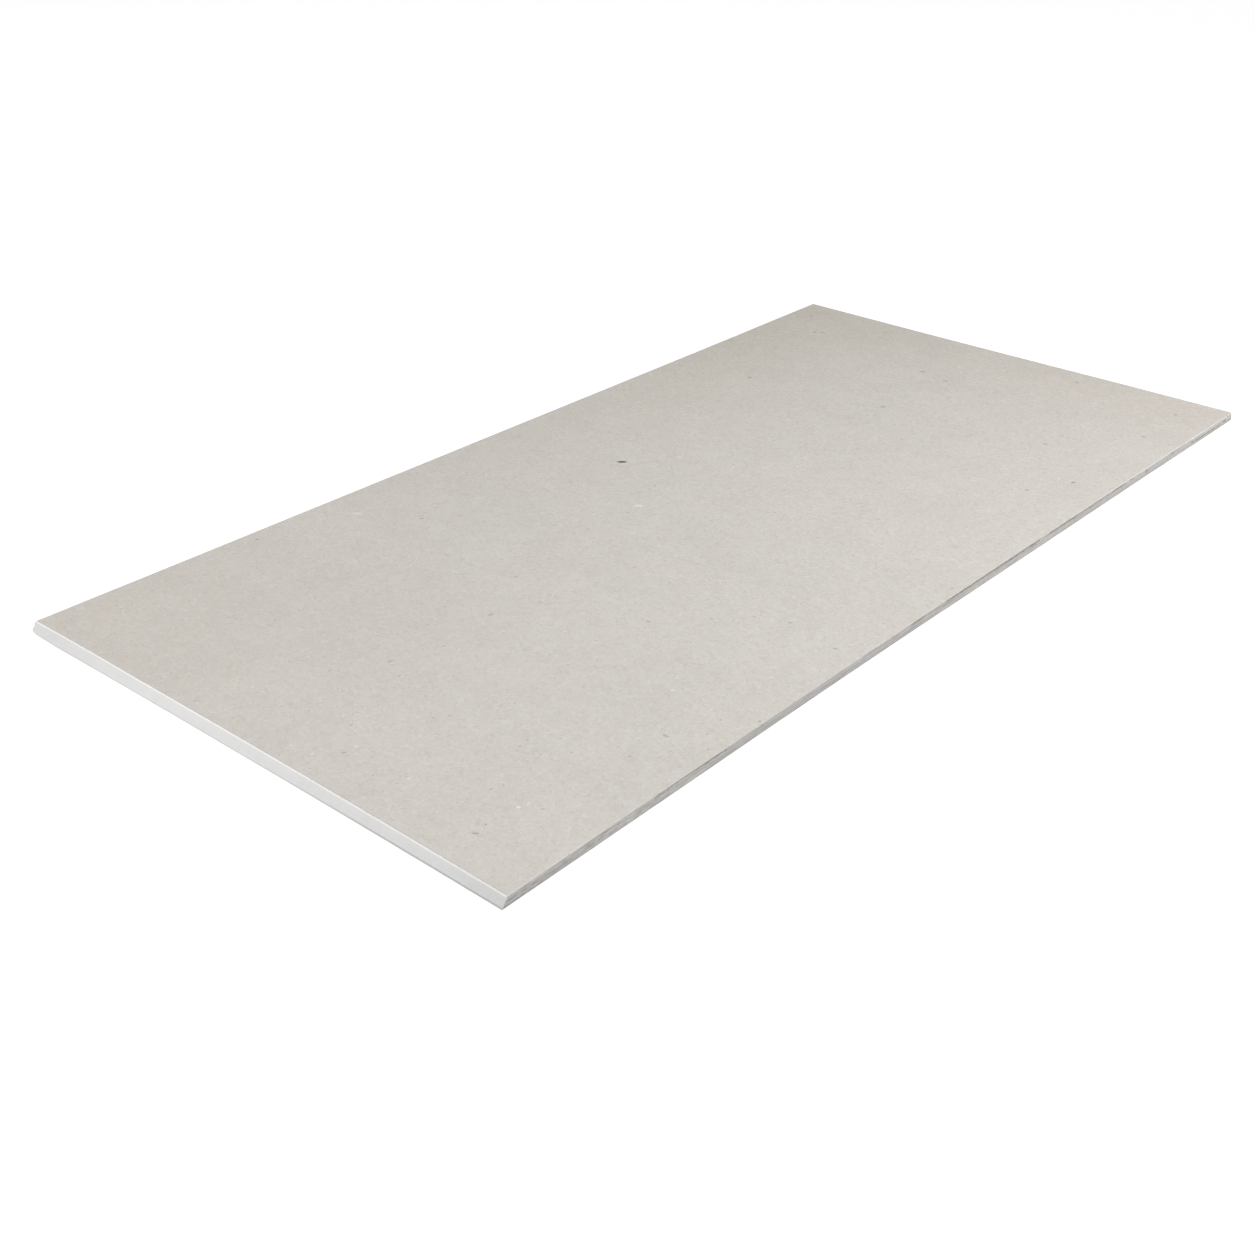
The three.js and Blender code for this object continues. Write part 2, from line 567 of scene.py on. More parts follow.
class Graph:
    """A shader node tree, with a short call for each kind of node that the finishes use."""

    def __init__(self, tree: bpy.types.NodeTree) -> None:
        """Empties a node tree and keeps it."""
        self.tree = tree
        tree.nodes.clear()

    def node(self, kind: str, inputs: dict[str | int, object], **settings: object) -> bpy.types.Node:
        """Adds a node.

        Args:
            kind: the node's type, without its ShaderNode prefix.
            inputs: values or sockets for its inputs, by name or by number.
            **settings: the node's own options.

        Returns:
            The new node.
        """
        made = self.tree.nodes.new("ShaderNode" + kind)
        for name, value in settings.items():
            setattr(made, name, value)
        for key, value in inputs.items():
            if isinstance(value, Socket):
                self.tree.links.new(value, made.inputs[key])
            else:
                made.inputs[key].default_value = value
        return made

    def object_point(self) -> Socket:
        """Gives the place on the sheet, in metres."""
        return self.node("TexCoord", {}).outputs["Object"]

    def mill_place(self) -> Socket:
        """Gives the place on the straight, square-ended sheet, in metres."""
        return self.node("Attribute", {}, attribute_name=MILL_PLACE).outputs["Vector"]

    def axes(self, point: Socket) -> tuple[Socket, Socket, Socket]:
        """Splits a point into X, Y and Z, or a colour into red, green and blue."""
        parts = self.node("SeparateXYZ", {0: point}).outputs
        return parts[0], parts[1], parts[2]

    def vector(self, kind: str, first: object, second: object) -> Socket:
        """Does one sum on two points, by Blender's name for it."""
        return self.node("VectorMath", {0: first, 1: second}, operation=kind).outputs[0]

    def placed(self, point: Socket, centre: Vector, turn: float, scale: Vector) -> Socket:
        """Moves, turns and then scales a pattern.

        Args:
            point: the place on the sheet.
            centre: the place that becomes the pattern's origin.
            turn: how far the pattern is turned about Z, in radians.
            scale: how many of the pattern's units go to a metre.

        Returns:
            The place in the pattern.
        """
        moved = self.vector("SUBTRACT", point, centre)
        turned = self.node("Mapping", {0: moved, 2: (0.0, 0.0, -turn)}, vector_type="POINT").outputs[0]
        return self.vector("MULTIPLY", turned, scale)

    def cloud(self, point: Socket, cloud: Cloud) -> Socket:
        """Gives soft noise.

        Args:
            point: the place on the sheet.
            cloud: the noise.

        Returns:
            A number around 0.5.
        """
        if cloud.stretch is not None:
            point = self.placed(point, Vector(), 0.0, Vector(cloud.stretch))
        shifted = self.vector("ADD", point, [cloud.seed * stride for stride in CLOUD_STRIDE])
        inputs = {"Vector": shifted, "Scale": cloud.scale, "Detail": cloud.detail, "Roughness": cloud.rough}
        return self.node("TexNoise", inputs, noise_dimensions="3D").outputs["Fac"]

    def sum(self, kind: str, first: object, second: object = 0.0) -> Socket:
        """Does one sum on one or two numbers, by Blender's name for it."""
        return self.node("Math", {0: first, 1: second}, operation=kind).outputs[0]

    def total(self, *numbers: Socket) -> Socket:
        """Adds some numbers up."""
        return reduce(lambda first, second: self.sum("ADD", first, second), numbers)

    def product(self, *numbers: Socket) -> Socket:
        """Multiplies some numbers."""
        return reduce(lambda first, second: self.sum("MULTIPLY", first, second), numbers)

    def highest(self, *numbers: Socket) -> Socket:
        """Gives the largest of some numbers."""
        return reduce(lambda first, second: self.sum("MAXIMUM", first, second), numbers)

    def line(self, value: Socket, factor: object, offset: object) -> Socket:
        """Multiplies a number by a factor and adds an offset."""
        return self.sum("ADD", self.sum("MULTIPLY", value, factor), offset)

    def waved(self, value: Socket, strength: float) -> Socket:
        """Turns a number around 0.5 into a factor around 1, which swings by half the strength."""
        return self.line(value, strength, 1.0 - 0.5 * strength)

    def centred(self, value: Socket, reach: object) -> Socket:
        """Turns a number around 0.5 into one around 0, which swings by half the reach."""
        return self.sum("MULTIPLY", self.sum("SUBTRACT", value, 0.5), reach)

    def rise(self, value: Socket, step: Step) -> Socket:
        """Turns a number into a smooth step.

        Args:
            value: the number.
            step: where the step is, and from what to what.

        Returns:
            The stepped number.
        """
        inputs = {0: value, 1: min(step.low, step.high), 2: max(step.low, step.high)}
        inputs |= {3: step.end, 4: step.start} if step.low > step.high else {3: step.start, 4: step.end}
        return self.node("MapRange", inputs, interpolation_type="SMOOTHSTEP").outputs[0]

    def mixed(self, share: object, first: object, second: object, blend: str = "MIX") -> Socket:
        """Blends a share of the second colour into the first, by Blender's name for the blend."""
        inputs = {0: share, 6: first, 7: second}
        return self.node("Mix", inputs, data_type="RGBA", blend_type=blend).outputs[2]

    def scaled(self, colour: object, factor: Socket) -> Socket:
        """Makes a colour lighter or darker by a factor."""
        return self.node("VectorMath", {0: colour, "Scale": factor}, operation="SCALE").outputs[0]


def new_material(name: str) -> tuple[bpy.types.Material, Graph]:
    """Makes an empty material and the graph that fills it.

    Args:
        name: the material's name.

    Returns:
        The material and its graph.
    """
    material = bpy.data.materials.new(name)
    material.use_nodes = True
    return material, Graph(material.node_tree)


@dataclass(frozen=True)
class Zone:
    """A soft-edged part of a face, from steps across the sheet and steps along it."""

    across: tuple[Step, ...]
    along: tuple[Step, ...]

    def share(self, graph: Graph, x: Socket, y: Socket) -> Socket:
        """Gives how far a place is inside the zone.

        Args:
            graph: the material's graph.
            x: the place across the sheet.
            y: the place along the sheet.

        Returns:
            A share that is 0 outside.
        """
        across = [graph.rise(x, step) for step in self.across]
        along = [graph.rise(y, step) for step in self.along]
        return graph.product(*across, *along)


@dataclass(frozen=True)
class Matte:
    """A matte surface: its fine relief, how rough it is and how much soft light its fibres catch."""

    relief: float
    relief_strength: float
    roughness: Step
    sheen: float
    sheen_roughness: float = 0.6
    specular: float = 0.25

    def laid(self, graph: Graph, colour: Socket, height: Socket, grain: Socket) -> None:
        """Ends a material with the surface.

        Args:
            graph: the material's graph.
            colour: the surface's colour.
            height: how high its relief is, from 0 to 1.
            grain: the fine noise that its roughness follows.
        """
        inputs = {"Height": height, "Distance": self.relief, "Strength": self.relief_strength}
        surface = graph.node(
            "BsdfPrincipled",
            {
                "Base Color": colour,
                "Roughness": graph.rise(grain, self.roughness),
                "Normal": graph.node("Bump", inputs).outputs[0],
                "Specular IOR Level": self.specular,
                "Sheen Weight": self.sheen,
                "Sheen Roughness": self.sheen_roughness,
            },
        )
        graph.node("OutputMaterial", {"Surface": surface.outputs[0]})


# ----------------------------------------------------------------------------------------------------
# Finishes
# ----------------------------------------------------------------------------------------------------


@dataclass(frozen=True)
class Flecks:
    """Flecks of one kind that were pulped into a paper, one at most to each cell of a net."""

    colour: Colour
    spacing: float
    share: float
    radius: float
    stretch: float
    turn: float
    seed: float
    strength: float
    smallest: float = 0.35
    faintest: float = 0.45
    core: float = 0.55

    def laid(self, graph: Graph, point: Socket, colour: Socket) -> Socket:
        """Adds the flecks to a colour.

        Args:
            graph: the material's graph.
            point: the place on the sheet, already a little distorted.
            colour: the paper without them.

        Returns:
            The paper with them.
        """
        scale = Vector((1.0 / self.spacing, self.stretch / self.spacing, 0.0))
        place = graph.placed(point, Vector((self.seed, self.seed, 0.0)), self.turn, scale)
        cells = graph.node("TexVoronoi", {"Vector": place, "Scale": 1.0}, voronoi_dimensions="2D")
        chance, size, depth = graph.axes(cells.outputs["Color"])
        present = graph.sum("LESS_THAN", chance, self.share)
        smallest, largest = self.smallest * self.radius / self.spacing, self.radius / self.spacing
        radius = graph.rise(size, Step(0.0, 1.0, smallest, largest))
        nearness = graph.sum("DIVIDE", cells.outputs["Distance"], radius)
        mask = graph.product(graph.rise(nearness, Step(1.0, self.core)), present)
        depth = graph.rise(depth, Step(0.0, 1.0, self.faintest * self.strength, self.strength))
        return graph.mixed(graph.product(mask, depth), colour, self.colour)


class Tint(Enum):
    """The colours of the marks that stand out on the finish face."""

    INK = (0.075, 0.075, 0.082, 1.0)
    SOOT = (0.290, 0.275, 0.252, 1.0)
    BARK = (0.370, 0.245, 0.125, 1.0)
    CHALK = (0.900, 0.890, 0.870, 1.0)
    PALE = (0.850, 0.848, 0.830, 1.0)


@dataclass(frozen=True)
class Mark:
    """One mark on the finish face that stands out from the rest."""

    tint: Tint
    centre: tuple[float, float]
    length: float
    width: float
    turn: float
    strength: float
    rim: float = 1.15
    core: float = 0.6

    def laid(self, graph: Graph, point: Socket, colour: Socket) -> Socket:
        """Adds the mark to a colour.

        Args:
            graph: the material's graph.
            point: the place on the sheet, already a little distorted.
            colour: the paper without it.

        Returns:
            The paper with it.
        """
        scale = Vector((2.0 / self.length, 2.0 / self.width, 0.0))
        place = graph.placed(point, Vector((*self.centre, 0.0)), self.turn, scale)
        distance = graph.node("VectorMath", {0: place}, operation="LENGTH").outputs["Value"]
        mask = graph.rise(distance, Step(self.rim, self.core, 0.0, self.strength))
        return graph.mixed(mask, colour, self.tint.value)


@dataclass(frozen=True)
class PaperFibres:
    """The curled fibres that stand a little proud of a pressed paper, each with a light and a dark flank,
    which the finishes paint as highlight and shade as well as raising them in relief.

    A fibre follows the middle level of a soft noise, and a second noise breaks it up.
    """

    scale: float
    width: float
    seed: float
    detail: float = 1.5
    rough: float = 0.45
    fade: Step = Step(2.2, 0.4)
    gap_scale: float = 0.8
    gap_seed: float = 3.1
    gap_detail: float = 1.0
    gaps: Step = Step(0.42, 0.56)

    def drawn(self, graph: Graph, point: Socket) -> Socket:
        """Draws the fibres.

        Args:
            graph: the material's graph.
            point: the place on the sheet.

        Returns:
            A number from -1 on a dark flank to 1 on a light one, and 0 away from the fibres.
        """
        level = graph.cloud(point, Cloud(self.scale, self.seed, self.detail, self.rough))
        across = graph.sum("DIVIDE", graph.sum("SUBTRACT", level, 0.5), self.width)
        fade = graph.rise(graph.sum("ABSOLUTE", across), self.fade)
        gaps = Cloud(self.scale * self.gap_scale, self.seed + self.gap_seed, self.gap_detail)
        broken = graph.rise(graph.cloud(point, gaps), self.gaps)
        flank = graph.sum("MAXIMUM", graph.sum("MINIMUM", across, 1.0), -1.0)
        return graph.product(flank, fade, broken)


@dataclass(frozen=True)
class Crease:
    """A dark crease or rub line that runs along a folded long side, partly soil and partly painted shade.
    """

    start: float
    end: float
    height: float
    width: float
    strength: float
    softness: float = 12.0 * MM
    core: float = 0.3

    def laid(
        self, graph: Graph, along: Socket, height: Socket, steepness: Socket, patchy: Socket
    ) -> Socket:
        """Draws the crease.

        Args:
            graph: the material's graph.
            along: the place along the side.
            height: the height above the back, wandering a little.
            steepness: how fast it fades downwards, against 1 upwards.
            patchy: a share from 0 to 1 that breaks the crease up.

        Returns:
            How much of the crease there is, from 0 to its strength.
        """
        above = graph.sum("SUBTRACT", height, self.height)
        below = graph.sum("MULTIPLY", graph.sum("SUBTRACT", self.height, height), steepness)
        off_line = graph.highest(above, below)
        return graph.product(
            graph.rise(off_line, Step(self.width, self.core * self.width, 0.0, self.strength)),
            graph.rise(along, Step(self.start - self.softness, self.start + self.softness)),
            graph.rise(along, Step(self.end + self.softness, self.end - self.softness)),
            patchy,
        )


@dataclass(frozen=True)
class FaceTone:
    """The finish face's colour, which drifts a little and is yellower and darker beside its edges: the
    yellowing is the paper's own ageing and the darkening is painted shade. Painted shade also darkens the
    face towards the right-hand side and over most of it between the bevelled end and the middle, and the
    face is darker close to the bevelled end.

    Places are from the middle of the sheet, except that the far ageing and shade is from the square end,
    the cut shade is from the bevelled end, and the steps across of the near and the left ageing and shade
    are from the left-hand side.
    """

    shape: SheetShape
    tone: Colour = (0.692, 0.656, 0.611, 1.0)
    warm: Colour = (0.696, 0.657, 0.605, 1.0)
    cool: Colour = (0.689, 0.656, 0.615, 1.0)
    aged_and_shaded: Colour = (0.653, 0.606, 0.549, 1.0)
    dulled_and_shaded: Colour = (0.649, 0.607, 0.556, 1.0)
    drift: Cloud = Cloud(5.0, 12.0, 4.0, 0.6)
    drift_share: Step = Step(0.4, 0.75, 0.0, 0.8)
    patches: Cloud = Cloud(30.0, 21.0, 3.0, 0.6)
    patch_share: Step = Step(0.45, 0.75, 0.0, 0.6)
    far_ageing_and_shade: Step = Step(-0.42, 0.0, 0.0, 0.85)
    near_ageing_and_shade: Zone = Zone((Step(1.0, 0.0, 0.0, 0.90),), (Step(-0.35, -1.15),))
    left_ageing_and_shade: Zone = Zone((Step(0.35, 0.0),), (Step(0.2, 1.0, 0.30, 0.90),))
    # The first cast is a faint yellowing of the paper; the second is painted shade, a little darker over
    # most of the face between the bevelled end and the middle.
    tints_and_shade: tuple[tuple[Zone, Colour], ...] = (
        (Zone((Step(0.0, -0.45),), (Step(-0.6, 0.7),)), (0.997, 1.000, 0.985, 1.0)),
        (
            Zone((Step(-0.58, -0.30),), (Step(-1.15, -0.80), Step(0.15, -0.12))),
            (0.975, 0.981, 0.980, 1.0),
        ),
    )
    clouding: Cloud = Cloud(9.0, 33.0, 4.0, 0.6)
    cloud_shade: Step = Step(0.3, 0.7, 0.982, 1.018)
    # Painted shade: the face is darker towards the right-hand side.
    right_shade: Step = Step(-0.1, 0.6, 1.0, 0.978)
    cut_shade: Step = Step(3.6 * MM, 2.4 * MM, 1.0, 0.91)

    def laid(self, graph: Graph, point: Socket, mill: Socket) -> Socket:
        """Gives the colour.

        Args:
            graph: the material's graph.
            point: the place on the sheet.
            mill: the place on the sheet as milled.

        Returns:
            The colour of the finish face.
        """
        x, y, _ = graph.axes(mill)
        half_length = self.shape.length / 2.0
        drift = graph.rise(graph.cloud(point, self.drift), self.drift_share)
        patches = graph.rise(graph.cloud(point, self.patches), self.patch_share)
        colour = graph.mixed(patches, graph.mixed(drift, self.tone, self.warm), self.cool)
        from_left = graph.sum("ADD", x, self.shape.width / 2.0)
        far = graph.rise(y, self.far_ageing_and_shade.moved(half_length))
        near = self.near_ageing_and_shade.share(graph, from_left, y)
        left = self.left_ageing_and_shade.share(graph, from_left, y)
        # Beside the edges the paper is yellower, its own ageing, and darker, which is painted shade.
        ageing_and_shade = graph.mixed(near, self.aged_and_shaded, self.dulled_and_shaded)
        colour = graph.mixed(graph.highest(far, near, left), colour, ageing_and_shade)
        # A faint yellowing, then painted shade.
        for zone, cast in self.tints_and_shade:
            colour = graph.mixed(zone.share(graph, x, y), colour, cast, "MULTIPLY")
        # The soft clouds vary the tone at random; the step across is painted shade, and the last step
        # darkens the face close to the bevelled end.
        shade = graph.product(
            graph.rise(graph.cloud(point, self.clouding), self.cloud_shade),
            graph.rise(x, self.right_shade),
            graph.rise(graph.sum("ADD", y, half_length), self.cut_shade),
        )
        return graph.scaled(colour, shade)


# The stretch of the long streaks on a folded side.
STREAKED = (300.0, 14.0, 620.0)


@dataclass(frozen=True)
class FoldedSides:
    """The folded long sides: greyer and streaked, with dark lines along the sheet that are partly soil and
    partly painted shade, pale on the fold, partly rubbed and partly a painted highlight, and lighter and
    darker along their length by painted light and shade.

    Heights are above the back, except that a step whose field says top is from the finish face upwards.
    """

    shape: SheetShape
    tone: Colour = (0.530, 0.515, 0.497, 1.0)
    rub_and_highlight: Colour = (0.785, 0.775, 0.752, 1.0)
    soil_and_shade: Colour = (0.265, 0.243, 0.212, 1.0)
    side_top: Step = Step(-0.1 * MM, -1.6 * MM)
    streaks: Cloud = Cloud(1.0, 40.0, 3.0, 0.55, STREAKED)
    streak_shade: Step = Step(0.25, 0.75, 0.84, 1.16)
    blots: Cloud = Cloud(1.0, 55.0, 2.0, 0.6, (260.0, 60.0, 420.0))
    blot_depth: Step = Step(-0.72, -0.95, 0.30, 1.05)
    # Painted light and shade along the side: lighter at the bevelled end, darker along the rest, a little
    # more so towards the square end.
    near_side_shade: Step = Step(-1.15, -0.50, 1.05, 0.975)
    far_side_shade: Step = Step(0.6, 1.1, 1.0, 0.985)
    wander: Cloud = Cloud(30.0, 17.0, 3.0)
    wander_reach: float = 1.6 * MM
    soil_and_shade_patches: Step = Step(0.30, 0.50, 0.50, 1.0)
    tongues: Cloud = Cloud(1.0, 83.0, 2.0, 0.6, (0.0, 75.0, 60.0))
    tongue_steepness: Step = Step(0.38, 0.66, 1.30, 0.55)
    creases: tuple[Crease, ...] = (
        Crease(-0.89, -0.85, 13.3 * MM, 1.6 * MM, 0.45, 6.0 * MM),
        Crease(-0.86, -0.77, 14.2 * MM, 1.6 * MM, 0.72, 8.0 * MM),
        Crease(-0.775, -0.72, 14.1 * MM, 1.7 * MM, 0.82, 5.0 * MM),
        Crease(-0.716, -0.711, 13.3 * MM, 2.3 * MM, 0.95, 1.5 * MM),
        Crease(-0.31, -0.27, 14.0 * MM, 1.8 * MM, 0.40),
        Crease(-0.22, -0.20, 12.6 * MM, 3.2 * MM, 0.22, 5.0 * MM),
        Crease(-0.16, -0.11, 13.9 * MM, 2.0 * MM, 0.82, 6.0 * MM),
        Crease(-0.11, -0.06, 13.8 * MM, 2.0 * MM, 0.40),
        Crease(-0.04, 0.31, 13.7 * MM, 2.2 * MM, 0.92, 5.0 * MM),
        Crease(0.35, 0.47, 13.5 * MM, 2.2 * MM, 0.88, 5.0 * MM),
        Crease(0.47, 0.62, 13.5 * MM, 2.1 * MM, 0.62, 8.0 * MM),
        Crease(0.62, 0.68, 13.5 * MM, 2.2 * MM, 0.92, 6.0 * MM),
        Crease(0.70, 0.72, 13.8 * MM, 2.4 * MM, 0.60, 5.0 * MM),
        Crease(-0.06, 0.30, 10.4 * MM, 5.0 * MM, 0.14),
        Crease(-0.72, -0.06, 6.8 * MM, 2.0 * MM, 0.16),
        Crease(-1.22, -1.06, 2.6 * MM, 2.0 * MM, 0.35),
        Crease(-1.22, -1.16, 3.8 * MM, 2.2 * MM, 0.20),
        Crease(-1.22, -1.08, 9.6 * MM, 3.0 * MM, 0.12),
        Crease(-1.22, -1.16, 12.4 * MM, 2.6 * MM, 0.12),
        Crease(0.45, 1.02, 7.8 * MM, 3.0 * MM, 0.07),
        Crease(0.773, 0.787, 10.4 * MM, 3.6 * MM, 0.62, 5.0 * MM),
        Crease(0.773, 0.787, 13.4 * MM, 2.2 * MM, 0.32, 5.0 * MM),
        Crease(0.896, 0.910, 13.4 * MM, 2.0 * MM, 0.80, 5.0 * MM),
        Crease(0.998, 1.014, 9.2 * MM, 2.0 * MM, 0.75, 4.0 * MM),
        Crease(1.02, 1.15, 8.2 * MM, 1.6 * MM, 0.82),
        Crease(0.80, 1.18, 13.2 * MM, 1.6 * MM, 0.13),
        Crease(1.166, 1.182, 10.2 * MM, 1.9 * MM, 1.50, 3.0 * MM),
    )

    # Where they are paler, partly rubbed and partly painted light and highlight: the upper part of each
    # side towards one end, and the fold.
    lifted_height: Step = Step(9.4 * MM, 10.8 * MM)
    lifted_along: Step = Step(0.90, 1.15, 0.0, 0.20)
    fold_across: Step = Step(2.8 * MM, 0.9 * MM)
    fold_top: Step = Step(-1.1 * MM, -0.2 * MM)
    far_wear_and_highlight: Step = Step(0.30, 0.95, 0.12, 1.0)
    near_wear_and_highlight: Step = Step(-0.85, -1.15, 0.0, 0.55)
    fold_patches: Cloud = Cloud(0.6, 71.0, stretch=STREAKED)
    fold_patch_share: Step = Step(0.3, 0.6, 0.5, 1.0)

    def laid(self, graph: Graph, point: Socket, mill: Socket, colour: Socket) -> Socket:
        """Adds the sides to the finish face's colour.

        Args:
            graph: the material's graph.
            point: the place on the sheet.
            mill: the place on the sheet as milled.
            colour: the finish face's colour.

        Returns:
            The colour of the whole wrap.
        """
        x, y, z = graph.axes(mill)
        along = graph.product(y, graph.sum("SIGN", x))
        height = graph.sum("ADD", z, graph.centred(graph.cloud(point, self.wander), self.wander_reach))
        blots = graph.cloud(point, self.blots)
        blotted = graph.centred(blots, graph.rise(along, self.blot_depth))
        # Streaks and blots vary the tone; the two steps along the sheet are painted light and shade.
        shade = graph.product(
            graph.rise(graph.cloud(point, self.streaks), self.streak_shade),
            graph.sum("ADD", blotted, 1.0),
            graph.rise(y, self.near_side_shade),
            graph.rise(y, self.far_side_shade),
        )
        side_colour = graph.scaled(self.tone[:3], shade)
        # Paler on the upper part towards the square end: partly rubbed, partly painted light.
        lifted = graph.product(graph.rise(height, self.lifted_height), graph.rise(along, self.lifted_along))
        side_colour = graph.mixed(lifted, side_colour, self.rub_and_highlight)
        # Dark lines along the side: partly soil, partly painted shade in and below the creases.
        patchy = graph.rise(blots, self.soil_and_shade_patches)
        steepness = graph.rise(graph.cloud(point, self.tongues), self.tongue_steepness)
        creases = [crease.laid(graph, along, height, steepness, patchy) for crease in self.creases]
        side_colour = graph.mixed(graph.highest(*creases), side_colour, self.soil_and_shade)
        side = graph.rise(z, self.side_top.moved(self.shape.thickness))
        colour = graph.mixed(side, colour, side_colour)

        # Paler on the fold, most towards the square end: partly rubbed, partly a painted highlight.
        fold = graph.sum("SUBTRACT", self.shape.face_fold_centre.x, graph.sum("ABSOLUTE", x))
        fold_top = self.fold_top.moved(self.shape.thickness)
        fold_rub_and_highlight = graph.product(graph.rise(fold, self.fold_across), graph.rise(z, fold_top))
        wear_and_highlight = graph.highest(graph.rise(y, self.far_wear_and_highlight), graph.rise(y, self.near_wear_and_highlight))
        fold_patches = graph.rise(graph.cloud(point, self.fold_patches), self.fold_patch_share)
        return graph.mixed(graph.product(fold_rub_and_highlight, wear_and_highlight, fold_patches), colour, self.rub_and_highlight)


@dataclass(frozen=True)
class BaredPly:
    """The white ply that shows beside the cut ends, where the grey one over it is torn off.

    Each end has its own steps, in distances from it. The tear runs further in on the left-hand part of the
    near end, and on the sides of the far one, where the step is from the finish face upwards.
    """

    shape: SheetShape
    tone: Colour = (0.990, 0.985, 0.970, 1.0)
    tear: Cloud = Cloud(35.0, 60.0)
    tear_reach: float = 1.2 * MM
    near_tear: float = 0.4
    near_bared: Step = Step(0.4 * MM, -0.1 * MM)
    left_bared: Step = Step(-0.25, -0.45, 0.0, 1.4 * MM)
    far_bared: Step = Step(1.4 * MM, 0.6 * MM)
    side_bared_top: Step = Step(-1.0 * MM, -2.5 * MM, 0.0, 5.5 * MM)

    def laid(self, graph: Graph, point: Socket, mill: Socket, sway: Socket, colour: Socket) -> Socket:
        """Adds the bared ply to the wrap's colour.

        Args:
            graph: the material's graph.
            point: the place on the sheet.
            mill: the place on the sheet as milled.
            sway: a small, fine wander of the torn edge.
            colour: the wrap without it.

        Returns:
            The wrap with it.
        """
        x, y, z = graph.axes(mill)
        ragged = graph.line(graph.cloud(point, self.tear), self.tear_reach, sway)
        from_near = graph.sum("ADD", y, self.shape.length / 2.0)
        from_near = graph.sum("SUBTRACT", from_near, graph.sum("MULTIPLY", ragged, self.near_tear))
        near = graph.rise(graph.sum("SUBTRACT", from_near, graph.rise(x, self.left_bared)), self.near_bared)
        from_far = graph.sum("SUBTRACT", self.shape.length / 2.0, y)
        from_far = graph.sum("SUBTRACT", from_far, ragged)
        on_side = graph.rise(z, self.side_bared_top.moved(self.shape.thickness))
        far = graph.rise(graph.sum("SUBTRACT", from_far, on_side), self.far_bared)
        return graph.mixed(graph.highest(near, far), colour, self.tone)


